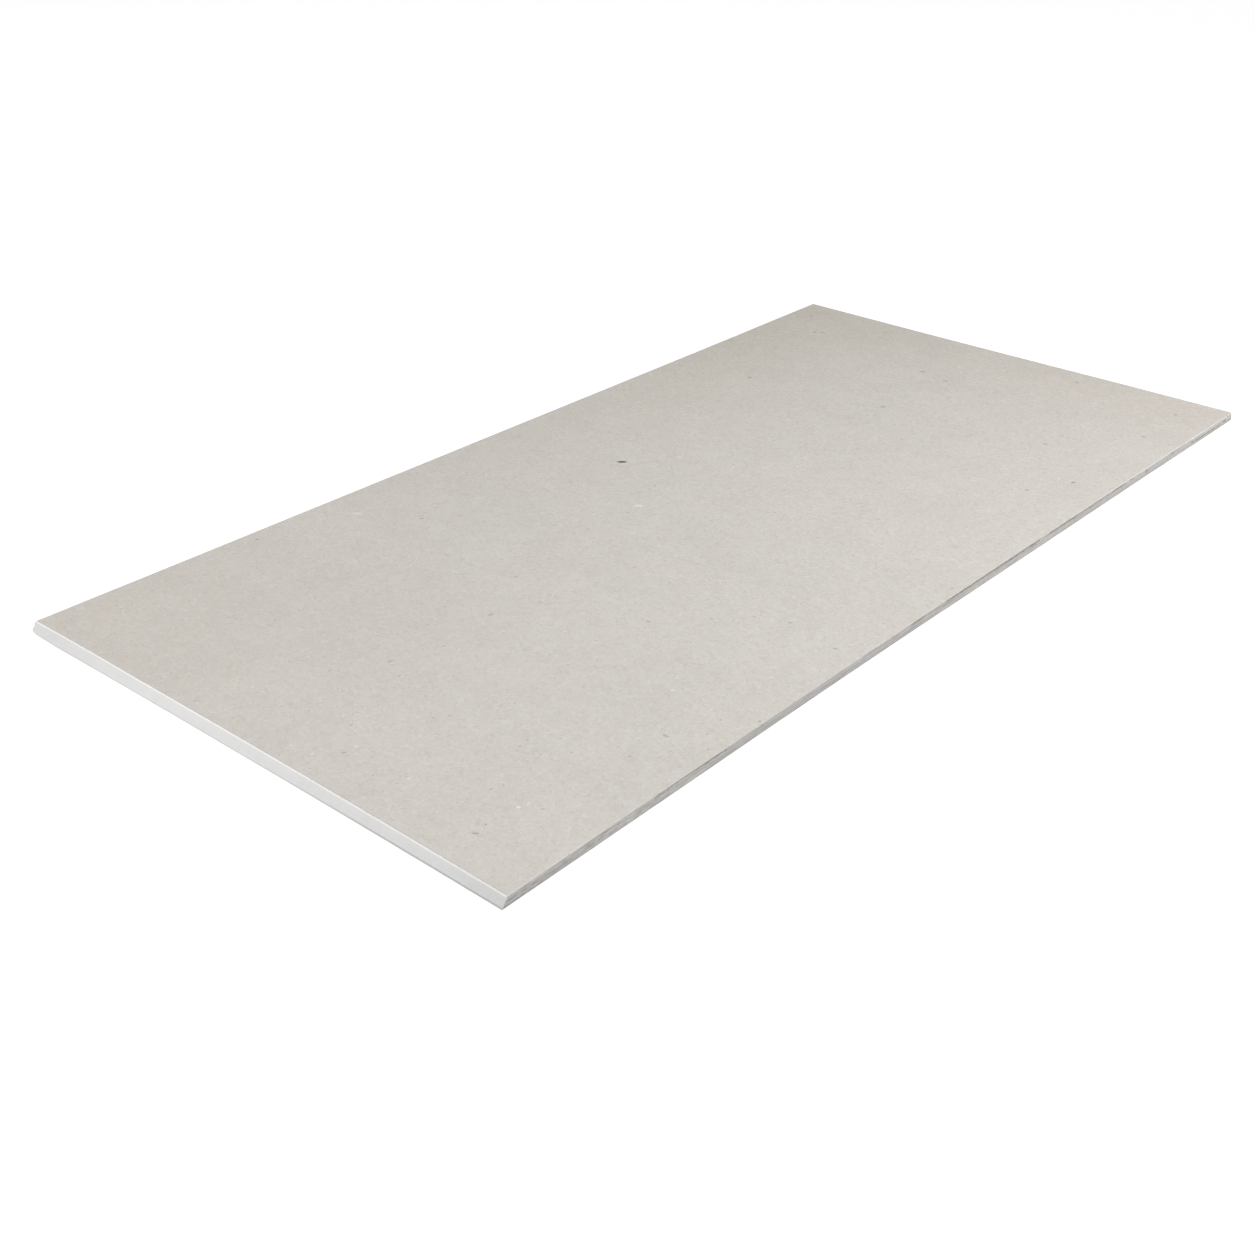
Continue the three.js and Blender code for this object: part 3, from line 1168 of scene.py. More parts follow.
@dataclass(frozen=True)
class IvoryPaper:
    """The grey-beige paper of the finish face and of the folded long sides."""

    shape: SheetShape
    surface: Matte = Matte(0.15 * MM, 0.9, Step(0.2, 0.8, 0.84, 0.97), sheen=0.04)

    # Fine grain and mottling, which lighten and darken everything.
    grain: Cloud = Cloud(900.0, 2.0, 3.0, 0.6)
    grain_strength: float = 0.05
    mottling: tuple[tuple[Cloud, float], ...] = (
        (Cloud(230.0, 5.0, 2.0, 0.6), 0.13),
        (Cloud(95.0, 6.0), 0.10),
        (Cloud(38.0, 26.0), 0.06),
    )

    # Fibres, and how strongly they raise the paper and paint it: painted shade on their dark flanks, in a
    # brownish colour that is partly the pulp's own, and a painted highlight on their light ones.
    pulp_and_shade: Colour = (0.588, 0.530, 0.432, 1.0)
    flank_highlight: Colour = (0.751, 0.765, 0.784, 1.0)
    felt: tuple[PaperFibres, ...] = (
        PaperFibres(48.0, 0.055, 1.7),
        PaperFibres(85.0, 0.065, 8.3),
        PaperFibres(140.0, 0.080, 5.9),
    )
    felt_along: Step = Step(-1.1, 1.1, 0.90, 1.14)
    painted_shade_flanks: Step = Step(-0.05, -1.2, 0.0, 0.32)
    painted_highlight_flanks: Step = Step(0.05, 1.2, 0.0, 0.26)
    felt_painted_light: float = 0.020
    felt_relief: float = 0.25

    # Flecks and marks, and how much they and the torn edges wander.
    wobble: Cloud = Cloud(260.0, 9.0)
    wobble_reach: float = 3.0 * MM
    flecks: tuple[Flecks, ...] = (
        Flecks((0.360, 0.270, 0.180, 1.0), 0.140, 0.24, 0.0046, 1.9, 0.8, 1.3, 0.50),
        Flecks((0.300, 0.290, 0.270, 1.0), 0.150, 0.16, 0.0044, 1.7, 0.4, 4.1, 0.46),
        Flecks((0.270, 0.250, 0.215, 1.0), 0.190, 0.28, 0.0050, 2.1, 1.0, 6.4, 0.54),
        Flecks((0.900, 0.900, 0.880, 1.0), 0.135, 0.26, 0.0050, 1.8, 1.9, 7.7, 0.64),
        Flecks((0.300, 0.262, 0.212, 1.0), 0.036, 0.52, 0.0021, 1.4, 0.2, 9.2, 0.77),
    )
    marks: tuple[Mark, ...] = (
        Mark(Tint.INK, (-0.283, 0.048), 24 * MM, 10.8 * MM, 0.72, 1.00),
        Mark(Tint.SOOT, (0.518, 0.604), 13 * MM, 6.0 * MM, 1.15, 0.85),
        Mark(Tint.SOOT, (0.594, -0.602), 7 * MM, 4.5 * MM, 0.70, 0.75),
        Mark(Tint.SOOT, (-0.466, 1.028), 12 * MM, 7.8 * MM, 0.93, 0.74),
        Mark(Tint.SOOT, (-0.390, 0.647), 11 * MM, 8.5 * MM, 0.80, 0.68),
        Mark(Tint.SOOT, (-0.091, 0.965), 13 * MM, 8.5 * MM, 0.90, 0.62),
        Mark(Tint.SOOT, (-0.448, 1.039), 17 * MM, 7.5 * MM, 0.44, 0.62),
        Mark(Tint.SOOT, (-0.033, 0.701), 14 * MM, 8.0 * MM, 0.90, 0.62),
        Mark(Tint.SOOT, (0.431, -0.298), 8 * MM, 5.5 * MM, 0.58, 0.42),
        Mark(Tint.SOOT, (-0.575, -0.725), 10 * MM, 6.0 * MM, 0.50, 0.60),
        Mark(Tint.SOOT, (0.236, 1.151), 10 * MM, 8.0 * MM, 0.80, 0.60),
        Mark(Tint.SOOT, (0.511, 1.112), 10 * MM, 9.0 * MM, 0.30, 0.60),
        Mark(Tint.SOOT, (-0.552, 1.131), 11 * MM, 10.0 * MM, 0.79, 0.58),
        Mark(Tint.SOOT, (-0.013, 0.946), 14 * MM, 8.0 * MM, 0.29, 0.56),
        Mark(Tint.SOOT, (0.368, 0.754), 11 * MM, 8.0 * MM, 0.34, 0.54),
        Mark(Tint.SOOT, (0.463, 0.505), 11 * MM, 7.0 * MM, 0.64, 0.52),
        Mark(Tint.SOOT, (0.515, 0.939), 15 * MM, 8.0 * MM, 2.85, 0.48),
        Mark(Tint.SOOT, (-0.400, -0.441), 11 * MM, 6.0 * MM, 0.90, 0.45),
        Mark(Tint.SOOT, (0.548, -0.321), 10 * MM, 6.0 * MM, 0.60, 0.42),
        Mark(Tint.SOOT, (0.000, -0.636), 16 * MM, 6.0 * MM, 1.38, 0.40),
        Mark(Tint.SOOT, (-0.011, -0.872), 13 * MM, 6.0 * MM, 1.45, 0.38),
        Mark(Tint.BARK, (0.234, -0.465), 11 * MM, 5.0 * MM, 0.10, 0.60),
        Mark(Tint.BARK, (0.465, -1.128), 13 * MM, 6.0 * MM, 0.60, 0.52),
        Mark(Tint.BARK, (0.505, -0.737), 15 * MM, 7.0 * MM, 0.00, 0.42),
        Mark(Tint.BARK, (0.151, -1.114), 10 * MM, 5.0 * MM, 0.80, 0.46),
        Mark(Tint.CHALK, (0.485, 0.602), 7 * MM, 6.0 * MM, 0.67, 0.80),
        Mark(Tint.CHALK, (0.466, -1.038), 9 * MM, 6.0 * MM, 0.75, 0.66),
        Mark(Tint.CHALK, (0.152, -1.090), 9 * MM, 6.0 * MM, 0.75, 0.55),
        Mark(Tint.PALE, (-0.106, -0.100), 23 * MM, 11.0 * MM, 0.72, 0.78),
        Mark(Tint.PALE, (-0.517, -0.512), 25 * MM, 12.0 * MM, 0.60, 0.62),
        Mark(Tint.PALE, (-0.205, 0.152), 13 * MM, 10.0 * MM, 0.20, 0.50),
    )

    def material(self) -> bpy.types.Material:
        """Builds the paper's material.

        Returns:
            A material on Object coordinates and on the place on the sheet as milled.
        """
        made, graph = new_material("ivory_paper")
        point = graph.object_point()
        mill = graph.mill_place()
        sway = graph.centred(graph.cloud(point, self.wobble), self.wobble_reach)
        loose = graph.vector("ADD", point, sway)
        felt = graph.total(*(fibres.drawn(graph, point) for fibres in self.felt))
        felt = graph.product(felt, graph.rise(graph.axes(mill)[1], self.felt_along))

        colour = FaceTone(self.shape).laid(graph, point, mill)
        # Painted shade on the fibres' dark flanks, in a colour partly the pulp's own, and a painted
        # highlight on their light flanks.
        colour = graph.mixed(graph.rise(felt, self.painted_shade_flanks), colour, self.pulp_and_shade)
        colour = graph.mixed(graph.rise(felt, self.painted_highlight_flanks), colour, self.flank_highlight)
        for spots in (*self.flecks, *self.marks):
            colour = spots.laid(graph, loose, colour)
        colour = FoldedSides(self.shape).laid(graph, point, mill, colour)
        colour = BaredPly(self.shape).laid(graph, point, mill, sway, colour)

        grain = graph.cloud(point, self.grain)
        # Grain and mottling vary the tone; the felt term paints light and shade on the fibres' flanks.
        light = graph.product(
            graph.waved(grain, self.grain_strength),
            *(graph.waved(graph.cloud(point, cloud), strength) for cloud, strength in self.mottling),
            graph.line(felt, self.felt_painted_light, 1.0),
        )
        relief = graph.line(felt, self.felt_relief, grain)
        self.surface.laid(graph, graph.scaled(colour, light), relief, grain)
        return made


@dataclass(frozen=True)
class Gypsum:
    """The cast core where the cut ends bare it. A step whose field says top is from its top upwards."""

    shape: SheetShape
    surface: Matte = Matte(0.25 * MM, 0.7, Step(0.2, 0.8, 0.9, 1.0), sheen=0.0)
    tone: Colour = (0.822, 0.819, 0.812, 1.0)
    pale_arris: Colour = (0.990, 0.985, 0.972, 1.0)
    pore: Colour = (0.560, 0.552, 0.530, 1.0)

    # Open pores: how many cells go to a metre, how many of them hold one, and how much it shows.
    cells: float = 420.0
    open_share: float = 0.22
    pore_edge: Step = Step(0.34, 0.12)
    pore_colour: float = 0.5
    pore_depth: float = 0.8

    # The paler band along the upper arris, and the painted shade along the rim low down, whose edges
    # wander.
    wander: Cloud = Cloud(240.0, 7.0)
    wander_reach: float = 0.8 * MM
    left_drop: Step = Step(-0.25, -0.45, 0.0, -0.6 * MM)
    pale_arris_top: Step = Step(-1.5 * MM, -0.9 * MM)
    rim_height: Step = Step(5.0 * MM, 3.2 * MM)
    rim_shade: Step = Step(0.0, 0.42, 0.96, 0.74)

    # Painted light and shade across the sheet, and lighter and darker tone in soft clouds and in the grain.
    painted_shades_across: tuple[Step, ...] = (
        Step(-0.64, -0.22, 0.915, 1.03),
        Step(0.00, 0.60, 1.0, 0.98),
        Step(0.46, 0.61, 1.0, 0.925),
    )
    clouding: Cloud = Cloud(30.0, 3.0, 4.0, 0.6)
    cloud_shade: Step = Step(0.3, 0.7, 0.98, 1.015)
    grain: Cloud = Cloud(1100.0, 5.0, 3.0, 0.65)
    grain_shade: Step = Step(0.25, 0.75, 0.97, 1.03)

    def material(self) -> bpy.types.Material:
        """Builds the gypsum's material.

        Returns:
            A material on Object coordinates.
        """
        made, graph = new_material("gypsum")
        point = graph.object_point()
        x, _, z = graph.axes(point)
        cells = graph.node("TexVoronoi", {"Vector": point, "Scale": self.cells}).outputs
        is_open = graph.sum("LESS_THAN", graph.axes(cells["Color"])[0], self.open_share)
        pores = graph.product(graph.rise(cells["Distance"], self.pore_edge), is_open)
        colour = graph.mixed(graph.sum("MULTIPLY", pores, self.pore_colour), self.tone, self.pore)

        height = graph.sum("ADD", z, graph.centred(graph.cloud(point, self.wander), self.wander_reach))
        # Paler along the upper arris, its band reaching lower on the left.
        pale_arris_top = self.pale_arris_top.moved(self.shape.thickness - self.shape.paper)
        pale_arris = graph.rise(graph.sum("ADD", height, graph.rise(x, self.left_drop)), pale_arris_top)
        colour = graph.mixed(pale_arris, colour, self.pale_arris)
        # Painted shade along the low rim, deeper towards the right-hand side.
        rim_painted_shade = graph.sum("SUBTRACT", graph.rise(x, self.rim_shade), 1.0)
        grain = graph.cloud(point, self.grain)
        # Painted shade on the low rim and painted light and shade across the sheet, times the tone's clouds
        # and grain.
        light = graph.product(
            graph.line(graph.rise(height, self.rim_height), rim_painted_shade, 1.0),
            *(graph.rise(x, shade) for shade in self.painted_shades_across),
            graph.rise(graph.cloud(point, self.clouding), self.cloud_shade),
            graph.rise(grain, self.grain_shade),
        )
        relief = graph.sum("SUBTRACT", grain, graph.sum("MULTIPLY", pores, self.pore_depth))
        self.surface.laid(graph, graph.scaled(colour, light), relief, grain)
        return made


@dataclass(frozen=True)
class GreyPaper:
    """The coarse recycled paper of the back."""

    surface: Matte = Matte(0.15 * MM, 0.8, Step(0.2, 0.8, 0.86, 0.98), sheen=0.04)
    tone: Colour = (0.318, 0.285, 0.235, 1.0)
    pale: Colour = (0.395, 0.365, 0.315, 1.0)
    blotches: Cloud = Cloud(40.0, 14.0, 5.0, 0.65)
    blotch_share: Step = Step(0.35, 0.7)
    clouding: Cloud = Cloud(6.0, 18.0, 3.0, 0.6)
    cloud_strength: float = 0.16
    grain: Cloud = Cloud(800.0, 4.0, 3.0, 0.6)
    grain_shade: Step = Step(0.2, 0.8, 0.93, 1.07)
    fibres: tuple[PaperFibres, ...] = (PaperFibres(80.0, 0.05, 5.5), PaperFibres(170.0, 0.06, 2.5))
    # How much the fibres' flanks are painted lighter and darker: painted highlight and shade.
    fibre_painted_light: float = 0.10
    fibre_relief: float = 0.5
    flecks: tuple[Flecks, ...] = (
        Flecks((0.120, 0.095, 0.070, 1.0), 0.028, 0.35, 0.0022, 2.2, 0.3, 2.1, 0.8),
        Flecks((0.150, 0.170, 0.210, 1.0), 0.046, 0.30, 0.0024, 2.6, -1.1, 5.2, 0.7),
        Flecks((0.620, 0.600, 0.540, 1.0), 0.034, 0.35, 0.0026, 2.8, 1.2, 9.4, 0.7),
        Flecks((0.190, 0.165, 0.130, 1.0), 0.012, 0.45, 0.0011, 1.6, 0.6, 7.3, 0.6),
    )

    def material(self) -> bpy.types.Material:
        """Builds the paper's material.

        Returns:
            A material on Object coordinates.
        """
        made, graph = new_material("grey_paper")
        point = graph.object_point()
        fibres = graph.total(*(kind.drawn(graph, point) for kind in self.fibres))
        blotches = graph.rise(graph.cloud(point, self.blotches), self.blotch_share)
        colour = graph.mixed(blotches, self.tone, self.pale)
        for flecks in self.flecks:
            colour = flecks.laid(graph, point, colour)
        grain = graph.cloud(point, self.grain)
        # The fibre term paints light and shade on the fibres' flanks; grain and clouds vary the tone.
        light = graph.product(
            graph.line(fibres, self.fibre_painted_light, 1.0),
            graph.rise(grain, self.grain_shade),
            graph.waved(graph.cloud(point, self.clouding), self.cloud_strength),
        )
        relief = graph.line(fibres, self.fibre_relief, grain)
        self.surface.laid(graph, graph.scaled(colour, light), relief, grain)
        return made


# ----------------------------------------------------------------------------------------------------
# Pieces of the sheet
# ----------------------------------------------------------------------------------------------------


@dataclass
class FacePaper:
    """The wrap: finish face, both long sides and the two flaps folded in under the back."""

    shape: SheetShape
    finish: IvoryPaper
    name: str = "face_paper_wrap"

    # The net: how far apart its lines are across and along the sheet.
    column: float = 9.0 * MM
    fine_column: float = 0.8 * MM
    side_column: float = 0.75 * MM
    flap_column: float = 4.0 * MM
    least_column: float = 1.0 * MM
    fold_steps: int = 6
    row: float = 14.0 * MM
    fine_row: float = 0.7 * MM
    end_cuts: int = 3
    end_cut_reach: float = 2.0 * MM
    end_cut_width: float = 3.0 * MM

    # Creases pressed into the folded sides. The band is from where they begin to where they are full, as
    # distances in from the widest line.
    crease_depth: float = 0.18 * MM
    crease_band: tuple[float, float] = (7.0 * MM, 4.5 * MM)
    crease_bumps: Bumps = Bumps(3.0, (math.inf, 0.060, 2.4 * MM), Axis.ACROSS, 5.0, octaves=2, gain=2.4)

    # Cut edges, which are torn back a little.
    tear_depth: float = 0.2 * MM
    tear_reach: float = 2.0 * MM
    tear_bumps: Bumps = Bumps(4.0, (0.009, math.inf, 0.009), Axis.ALONG, 4.0, gain=1.6)

    def build(self) -> bmesh.types.BMesh:
        """Builds the wrap's mesh.

        Returns:
            A closed mesh, as thick as the paper.
        """
        shape = self.shape
        mesh = bmesh.new()
        self._draw_section(mesh)
        swept_along(mesh, -shape.length / 2.0, graded(shape.length, self.fine_row, self.row))
        self._refine_ends(mesh)
        bmesh.ops.recalc_face_normals(mesh, faces=mesh.faces[:])
        if max(mesh.faces, key=lambda face: face.calc_center_median().z).normal.z < 0.0:
            bmesh.ops.reverse_faces(mesh, faces=mesh.faces[:])
        shaped(mesh, self._creased)
        bmesh.ops.solidify(mesh, geom=mesh.faces[:], thickness=shape.paper)
        shaped(mesh, shape.worn)
        keep_mill_place(mesh)
        shaped(mesh, self._torn, shape.handled, shape.cut)
        return mesh

    def dress(self, mesh: bmesh.types.BMesh) -> bpy.types.Object:
        """Makes the wrap a piece and gives it its finish.

        Args:
            mesh: the wrap's mesh.

        Returns:
            The piece.
        """
        piece = finished(mesh, self.name, self.finish.material())
        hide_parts("face_paper")
        return piece

    def _draw_section(self, mesh: bmesh.types.BMesh) -> None:
        """Draws the right half of the section, from the flap's edge to the middle, and mirrors it.

        Args:
            mesh: an empty mesh.
        """
        shape = self.shape
        back, face = shape.back_fold_centre, shape.face_fold_centre
        pen = SectionPen(mesh, Vector((shape.width / 2.0 - shape.flap_width, 0.0, shape.paper)))
        fold_start = Vector((back.x, 0.0, shape.paper))
        pen.straight(fold_start, even(fold_start.x - pen.tip.co.x, self.flap_column))
        pen.fold(back, math.pi / 2.0, self.fold_steps)
        reach = Vector((math.cos(shape.lean), 0.0, math.sin(shape.lean))) * shape.face_fold
        side_end = face + reach
        pen.straight(side_end, even((side_end - pen.tip.co).length, self.side_column))
        pen.fold(face, math.pi / 2.0 - shape.lean, self.fold_steps)
        half_width = pen.tip.co.x
        whole = graded(2.0 * half_width, self.fine_column, self.column)
        half = [distance for distance in whole if distance < half_width - self.least_column]
        pen.straight(Vector((0.0, 0.0, shape.thickness)), [*half, half_width])
        bmesh.ops.mirror(mesh, geom=mesh.verts[:] + mesh.edges[:], axis="X", merge_dist=SAME_PLACE)
        bmesh.ops.remove_doubles(mesh, verts=mesh.verts[:], dist=SAME_PLACE)

    def _refine_ends(self, mesh: bmesh.types.BMesh) -> None:
        """Splits the rows beside the cut ends more finely, so that their torn edges can be ragged.

        Args:
            mesh: the wrap as one surface.
        """
        limit = self.shape.length / 2.0 - self.end_cut_reach
        across = [
            edge
            for edge in mesh.edges
            if abs(edge.verts[0].co.y - edge.verts[1].co.y) < SAME_PLACE
            and abs(edge.verts[0].co.y) > limit
            and edge.calc_length() > self.end_cut_width
        ]
        bmesh.ops.subdivide_edges(mesh, edges=across, cuts=self.end_cuts, use_grid_fill=True)

    def _creased(self, point: Vector) -> Vector:
        """Presses the creases that run along the folded sides into the paper, as narrow grooves.

        Args:
            point: a point of the piece.

        Returns:
            The moved point.
        """
        start, full = (self.shape.width / 2.0 - inset for inset in self.crease_band)
        groove = 1.0 - min(1.0, self.crease_bumps.gain * abs(self.crease_bumps.height(point)))
        depth = self.crease_depth * eased(abs(point.x), start, full) * groove
        return point + Vector((-math.copysign(1.0, point.x) * depth, 0.0, 0.0))

    def _torn(self, point: Vector) -> Vector:
        """Pulls the cut edges back a little, unevenly.

        Args:
            point: a point of the piece.

        Returns:
            The moved point.
        """
        end = math.copysign(1.0, point.y)
        close = eased(self.shape.length / 2.0 - abs(point.y), self.tear_reach, 0.0)
        return point + Vector((0.0, -end * close * self.tear_bumps.share(point) * self.tear_depth, 0.0))


@dataclass
class GypsumCore:
    """The cast core, with its two bare cut ends."""

    shape: SheetShape
    finish: Gypsum
    name: str = "gypsum_core_cast"

    # The net: fine at the cut ends, with long faces in the hidden part between them, which is drawn in.
    cell: float = 1.4 * MM
    rows: int = 14
    row_crowding: float = 0.07
    end_depth: float = 6.0 * MM
    spans: int = 10
    hidden_gap: float = 0.8 * MM

    # The cut ends: how rough they are, from fine grain and broader swells.
    cut_reach: float = 2.0 * MM
    roughness: float = 0.25 * MM
    grain_bumps: Bumps = Bumps(5.0, (3.5 * MM, math.inf, 3.5 * MM), Axis.ALONG, 6.0)
    grain_depth: float = 0.35
    swell_bumps: Bumps = Bumps(6.0, (40.0 * MM, math.inf, 14.0 * MM), Axis.ALONG, 9.0, octaves=2)
    swell_depth: float = 0.3

    # Chips out of their upper arris.
    chip: float = 0.25 * MM
    chip_reach: float = 2.6 * MM
    chip_levels: tuple[float, float] = (0.1, 0.7)
    chip_bumps: Bumps = Bumps(7.0, (11.0 * MM, math.inf, math.inf), Axis.ALONG, 7.0)

    def build(self) -> bmesh.types.BMesh:
        """Builds the core's mesh: a fine grid for the bevelled end, extruded to the square one.

        Returns:
            A closed mesh.
        """
        shape = self.shape
        mesh = bmesh.new()
        columns = round(shape.width / self.cell)
        upright = Matrix.Rotation(math.pi / 2.0, 4, "X")
        bmesh.ops.create_grid(mesh, x_segments=columns, y_segments=self.rows, size=0.5, matrix=upright)
        bmesh.ops.translate(mesh, verts=mesh.verts[:], vec=(0.0, -shape.length / 2.0, 0.0))
        bevelled_end = front = mesh.faces[:]
        for advance in (self.end_depth, shape.length - 2.0 * self.end_depth, self.end_depth):
            made = bmesh.ops.extrude_face_region(mesh, geom=front)["geom"]
            if front is not bevelled_end:
                bmesh.ops.delete(mesh, geom=front, context="FACES")
            front = of_kind(made, bmesh.types.BMFace)
            verts = of_kind(made, bmesh.types.BMVert)
            bmesh.ops.translate(mesh, verts=verts, vec=(0.0, advance, 0.0))
        long_edges = [edge for edge in mesh.edges if edge.calc_length() > shape.length / 2.0]
        bmesh.ops.subdivide_edges(mesh, edges=long_edges, cuts=self.spans - 1, use_grid_fill=True)
        shaped(mesh, self._in_section, shape.worn)
        keep_mill_place(mesh)
        shaped(mesh, self._broken, self._tucked, shape.handled, shape.cut)
        bmesh.ops.recalc_face_normals(mesh, faces=mesh.faces[:])
        return mesh

    def dress(self, mesh: bmesh.types.BMesh) -> bpy.types.Object:
        """Makes the core a piece and gives it its finish.

        Args:
            mesh: the core's mesh.

        Returns:
            The piece.
        """
        piece = finished(mesh, self.name, self.finish.material())
        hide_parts("gypsum_core")
        return piece

    def _in_section(self, point: Vector) -> Vector:
        """Takes a point of the flat grid to its place inside the papers.

        Args:
            point: a point of a grid that is a unit wide and high.

        Returns:
            Its place.
        """
        shape = self.shape
        flap_edge = shape.width / 2.0 - shape.flap_width
        over_flap = eased(abs(point.x) * shape.width, flap_edge, flap_edge + shape.flap_scarf)
        low = shape.paper * (1.0 + over_flap)
        high = shape.thickness - shape.paper
        share = point.z + 0.5
        share -= self.row_crowding * math.sin(math.tau * share)
        height = low + (high - low) * share
        reach = shape.side_reach(height, shape.paper)
        return Vector((2.0 * point.x * reach, point.y, height))

    def _tucked(self, point: Vector) -> Vector:
        """Draws the core in a little between its ends, where the papers hide it.

        Args:
            point: a point of the piece.

        Returns:
            The moved point.
        """
        if abs(point.y) > self.shape.length / 2.0 - self.end_depth / 2.0:
            return point
        middle = self.shape.thickness / 2.0
        inward = Vector((math.copysign(1.0, point.x), 0.0, math.copysign(1.0, point.z - middle)))
        return point - inward * self.hidden_gap

    def _broken(self, point: Vector) -> Vector:
        """Roughens the cut ends and breaks small chips out of their upper arris.

        Args:
            point: a point of the piece.

        Returns:
            The moved point.
        """
        shape = self.shape
        if shape.length / 2.0 - abs(point.y) > self.cut_reach:
            return point
        grain = self.grain_depth * self.grain_bumps.height(point)
        swell = self.swell_depth * self.swell_bumps.height(point)
        depth = self.roughness * min(1.0, max(0.0, 0.5 + grain + swell))
        at_top = eased(point.z, shape.thickness - self.chip_reach, shape.thickness - shape.paper)
        chip = self.chip * at_top * eased(self.chip_bumps.height(point), *self.chip_levels)
        inward = -math.copysign(1.0, point.y)
        return point + Vector((0.0, inward * (depth + chip), -0.5 * chip))


@dataclass
class BackPaper:
    """The paper of the back, which lies over both flaps."""

    shape: SheetShape
    finish: GreyPaper
    name: str = "back_paper_sheet"

    # The net: how far apart its lines are across and along the sheet.
    column: float = 16.0 * MM
    fine_column: float = 1.0 * MM
    row: float = 18.0 * MM
    fine_row: float = 0.8 * MM

    # The trimmed sides and ends, which are pulled in unevenly.
    side_wave: float = 0.5 * MM
    side_reach: float = 4.0 * MM
    side_bumps: Bumps = Bumps(8.0, (math.inf, 0.12, math.inf), Axis.ACROSS, 4.0)
    end_wave: float = 0.8 * MM
    end_reach: float = 3.0 * MM
    end_bumps: Bumps = Bumps(9.0, (0.03, math.inf, math.inf), Axis.ALONG, 4.0, gain=1.5)

    def build(self) -> bmesh.types.BMesh:
        """Builds the paper's mesh.

        Returns:
            A closed mesh, as thick as the paper.
        """
        shape = self.shape
        edge = shape.width / 2.0 - shape.back_margin
        mesh = bmesh.new()
        pen = SectionPen(mesh, Vector((-edge, 0.0, 0.0)))
        pen.straight(Vector((edge, 0.0, 0.0)), graded(2.0 * edge, self.fine_column, self.column))
        swept_along(mesh, -shape.length / 2.0, graded(shape.length, self.fine_row, self.row))
        bmesh.ops.recalc_face_normals(mesh, faces=mesh.faces[:])
        if mesh.faces[:][0].normal.z > 0.0:
            bmesh.ops.reverse_faces(mesh, faces=mesh.faces[:])
        bmesh.ops.solidify(mesh, geom=mesh.faces[:], thickness=shape.paper)
        shaped(mesh, self._trimmed)
        keep_mill_place(mesh)
        shaped(mesh, shape.handled, shape.cut)
        return mesh

    def dress(self, mesh: bmesh.types.BMesh) -> bpy.types.Object:
        """Makes the paper a piece and gives it its finish.

        Args:
            mesh: the paper's mesh.

        Returns:
            The piece.
        """
        piece = finished(mesh, self.name, self.finish.material())
        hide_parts("back_paper")
        return piece

    def _trimmed(self, point: Vector) -> Vector:
        """Pulls the edges of the paper in a little, unevenly.

        Args:
            point: a point of the piece.

        Returns:
            The moved point.
        """
        edge = self.shape.width / 2.0 - self.shape.back_margin
        side, end = math.copysign(1.0, point.x), math.copysign(1.0, point.y)
        at_side = eased(edge - abs(point.x), self.side_reach, 0.0)
        at_end = eased(self.shape.length / 2.0 - abs(point.y), self.end_reach, 0.0)
        from_side = at_side * self.side_bumps.share(point) * self.side_wave
        from_end = end * at_end * self.end_bumps.share(point) * self.end_wave
        return point - Vector((side * from_side, from_end, 0.0))


# ----------------------------------------------------------------------------------------------------
# Studio
# ----------------------------------------------------------------------------------------------------


def seen_directly(graph: Graph) -> Socket:
    """Gives 1 on rays that show a backdrop, straight or in a gloss, and 0 on rays that carry light."""
    rays = graph.node("LightPath", {}).outputs
    return graph.highest(rays["Is Camera Ray"], rays["Is Glossy Ray"], rays["Is Transmission Ray"])


def from_round(azimuth: float, elevation: float) -> Vector:
    """Gives a direction from the sheet, in degrees: an azimuth of 0 is towards -Y and 90 towards +X."""
    turn, rise = math.radians(azimuth), math.radians(elevation)
    return Vector((math.sin(turn) * math.cos(rise), -math.cos(turn) * math.cos(rise), math.sin(rise)))


@dataclass(frozen=True)
class Lamp:
    """A square soft box that faces the middle of the sheet.

    Its brightness is what a white card would show that such boxes lit from all round.
    """

    name: str
    azimuth: float
    elevation: float
    distance: float
    size: float
    brightness: float

    def hang(self) -> None:
        """Hangs the lamp."""
        data = bpy.data.lights.new(self.name, "AREA")
        data.shape = "SQUARE"
        data.size = self.size
        data.energy = self.brightness * math.pi * self.size * self.size
        lamp = new_object(self.name, data)
        towards = from_round(self.azimuth, self.elevation)
        lamp.location = towards * self.distance
        lamp.rotation_euler = towards.to_track_quat("Z", "Y").to_euler()


@dataclass(frozen=True)
class Viewpoint:
    """Where the camera stands and looks. Its lens, in millimetres, is for a sensor of the given width."""

    place: tuple[float, float, float] = (1.9699, -2.4998, 1.4952)
    azimuth: float = 41.2934
    elevation: float = 29.1391
    lens: float = 48.086
    sensor_width: float = 36.0
    clip_start: float = 0.05
    clip_end: float = 100.0

    def set_up(self) -> None:
        """Makes the camera and hands it to the scene."""
        data = bpy.data.cameras.new("camera")
        data.lens = self.lens
        data.sensor_width = self.sensor_width
        data.clip_start, data.clip_end = self.clip_start, self.clip_end
        camera = new_object("camera", data)
        camera.location = self.place
        camera.rotation_euler = (math.radians(90.0 - self.elevation), 0.0, math.radians(self.azimuth))
        bpy.context.scene.camera = camera


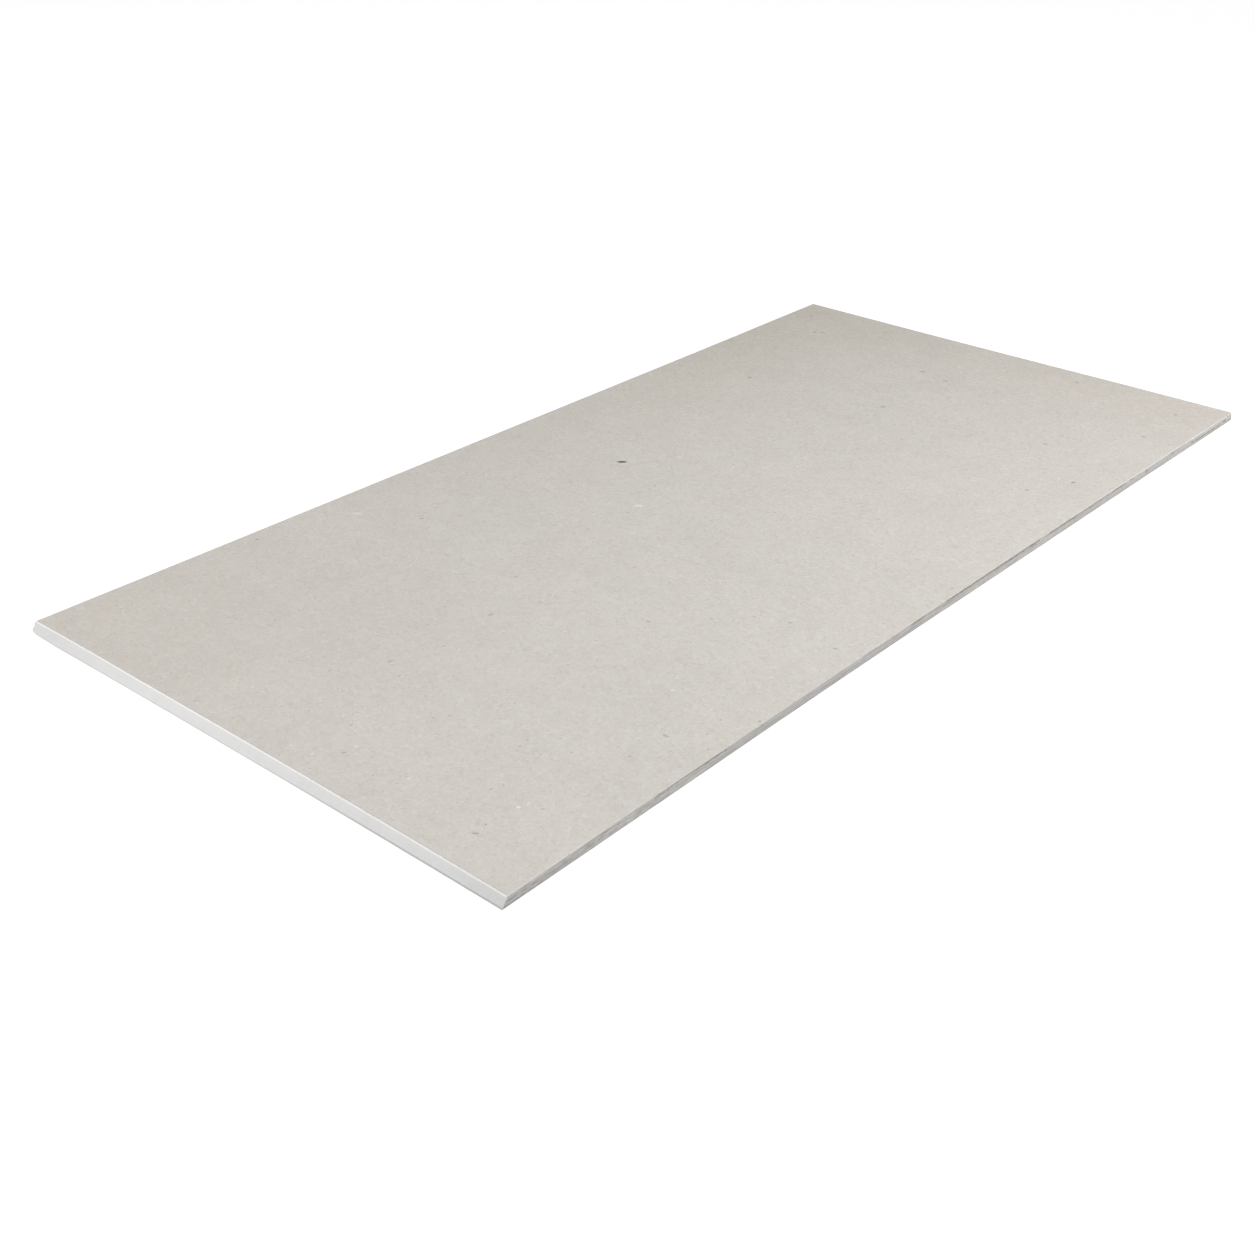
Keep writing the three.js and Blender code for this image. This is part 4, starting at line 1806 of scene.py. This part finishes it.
@dataclass(frozen=True)
class Studio:
    """A pale floor, soft lamps and even light from all round."""

    floor_size: float = 40.0
    floor_cells: int = 4
    floor_gap: float = 0.2 * MM
    floor_glow: float = 0.85
    floor_tone: Colour = (0.62, 0.62, 0.62, 1.0)
    shadow_tone: Colour = (0.40, 0.40, 0.40, 1.0)
    ambient: float = 0.422
    lamps: tuple[Lamp, ...] = (
        Lamp("key_lamp", 90.0, 50.0, 3.0, 2.0, 3.50),
        Lamp("low_lamp", 150.0, 15.0, 3.0, 2.0, 1.93),
        Lamp("fill_lamp", 330.0, 30.0, 4.5, 2.0, 5.43),
    )
    viewpoint: Viewpoint = Viewpoint()

    def set_up(self) -> None:
        """Sets up the floor, the lamps, the light from all round and the camera."""
        self._lay_floor()
        self._light_all_round()
        for lamp in self.lamps:
            lamp.hang()
        self.viewpoint.set_up()
        bpy.context.scene.view_settings.view_transform = "Standard"

    def _lay_floor(self) -> None:
        """Lays the floor. Seen directly it is white except in the sheet's shadow."""
        material, graph = new_material("pale_floor")
        card = graph.node("BsdfDiffuse", {"Color": self.floor_tone}).outputs[0]
        shade = graph.node("BsdfDiffuse", {"Color": self.shadow_tone}).outputs[0]
        glow = graph.node("Emission", {"Strength": self.floor_glow}).outputs[0]
        white = graph.node("AddShader", {0: shade, 1: glow}).outputs[0]
        floor_shader = graph.node("MixShader", {0: seen_directly(graph), 1: card, 2: white}).outputs[0]
        graph.node("OutputMaterial", {"Surface": floor_shader})
        mesh = bmesh.new()
        cells = self.floor_cells
        bmesh.ops.create_grid(mesh, x_segments=cells, y_segments=cells, size=self.floor_size / 2.0)
        bmesh.ops.translate(mesh, verts=mesh.verts[:], vec=(0.0, 0.0, -self.floor_gap))
        floor = mesh_object(mesh, "floor", material)

    def _light_all_round(self) -> None:
        """Fills the world with even light, and shows it as white where it is seen directly."""
        world = bpy.data.worlds.new("even_light")
        world.use_nodes = True
        bpy.context.scene.world = world
        graph = Graph(world.node_tree)
        light = graph.node("Background", {"Strength": self.ambient}).outputs[0]
        white = graph.node("Background", {"Color": WHITE, "Strength": 1.0}).outputs[0]
        both = graph.node("MixShader", {0: seen_directly(graph), 1: light, 2: white}).outputs[0]
        graph.node("OutputWorld", {"Surface": both})


def report(piece: bpy.types.Object) -> None:
    """Logs what a piece came to."""
    triangles = sum(len(polygon.vertices) - 2 for polygon in piece.data.polygons)
    LOG.info("%s: %d vertices, %d triangles", piece.name, len(piece.data.vertices), triangles)


def main() -> None:
    """Builds the sheet piece by piece, then the studio round it."""
    logging.basicConfig(level=logging.INFO, format="%(name)s: %(message)s")
    low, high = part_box("face_paper")
    size = high - low
    shape = SheetShape(length=size.y, width=size.x, thickness=high.z)
    core = GypsumCore(shape, Gypsum(shape))
    report(core.dress(core.build()))
    face = FacePaper(shape, IvoryPaper(shape))
    report(face.dress(face.build()))
    back = BackPaper(shape, GreyPaper())
    report(back.dress(back.build()))
    Studio().set_up()


if __name__ == "__main__":
    main()
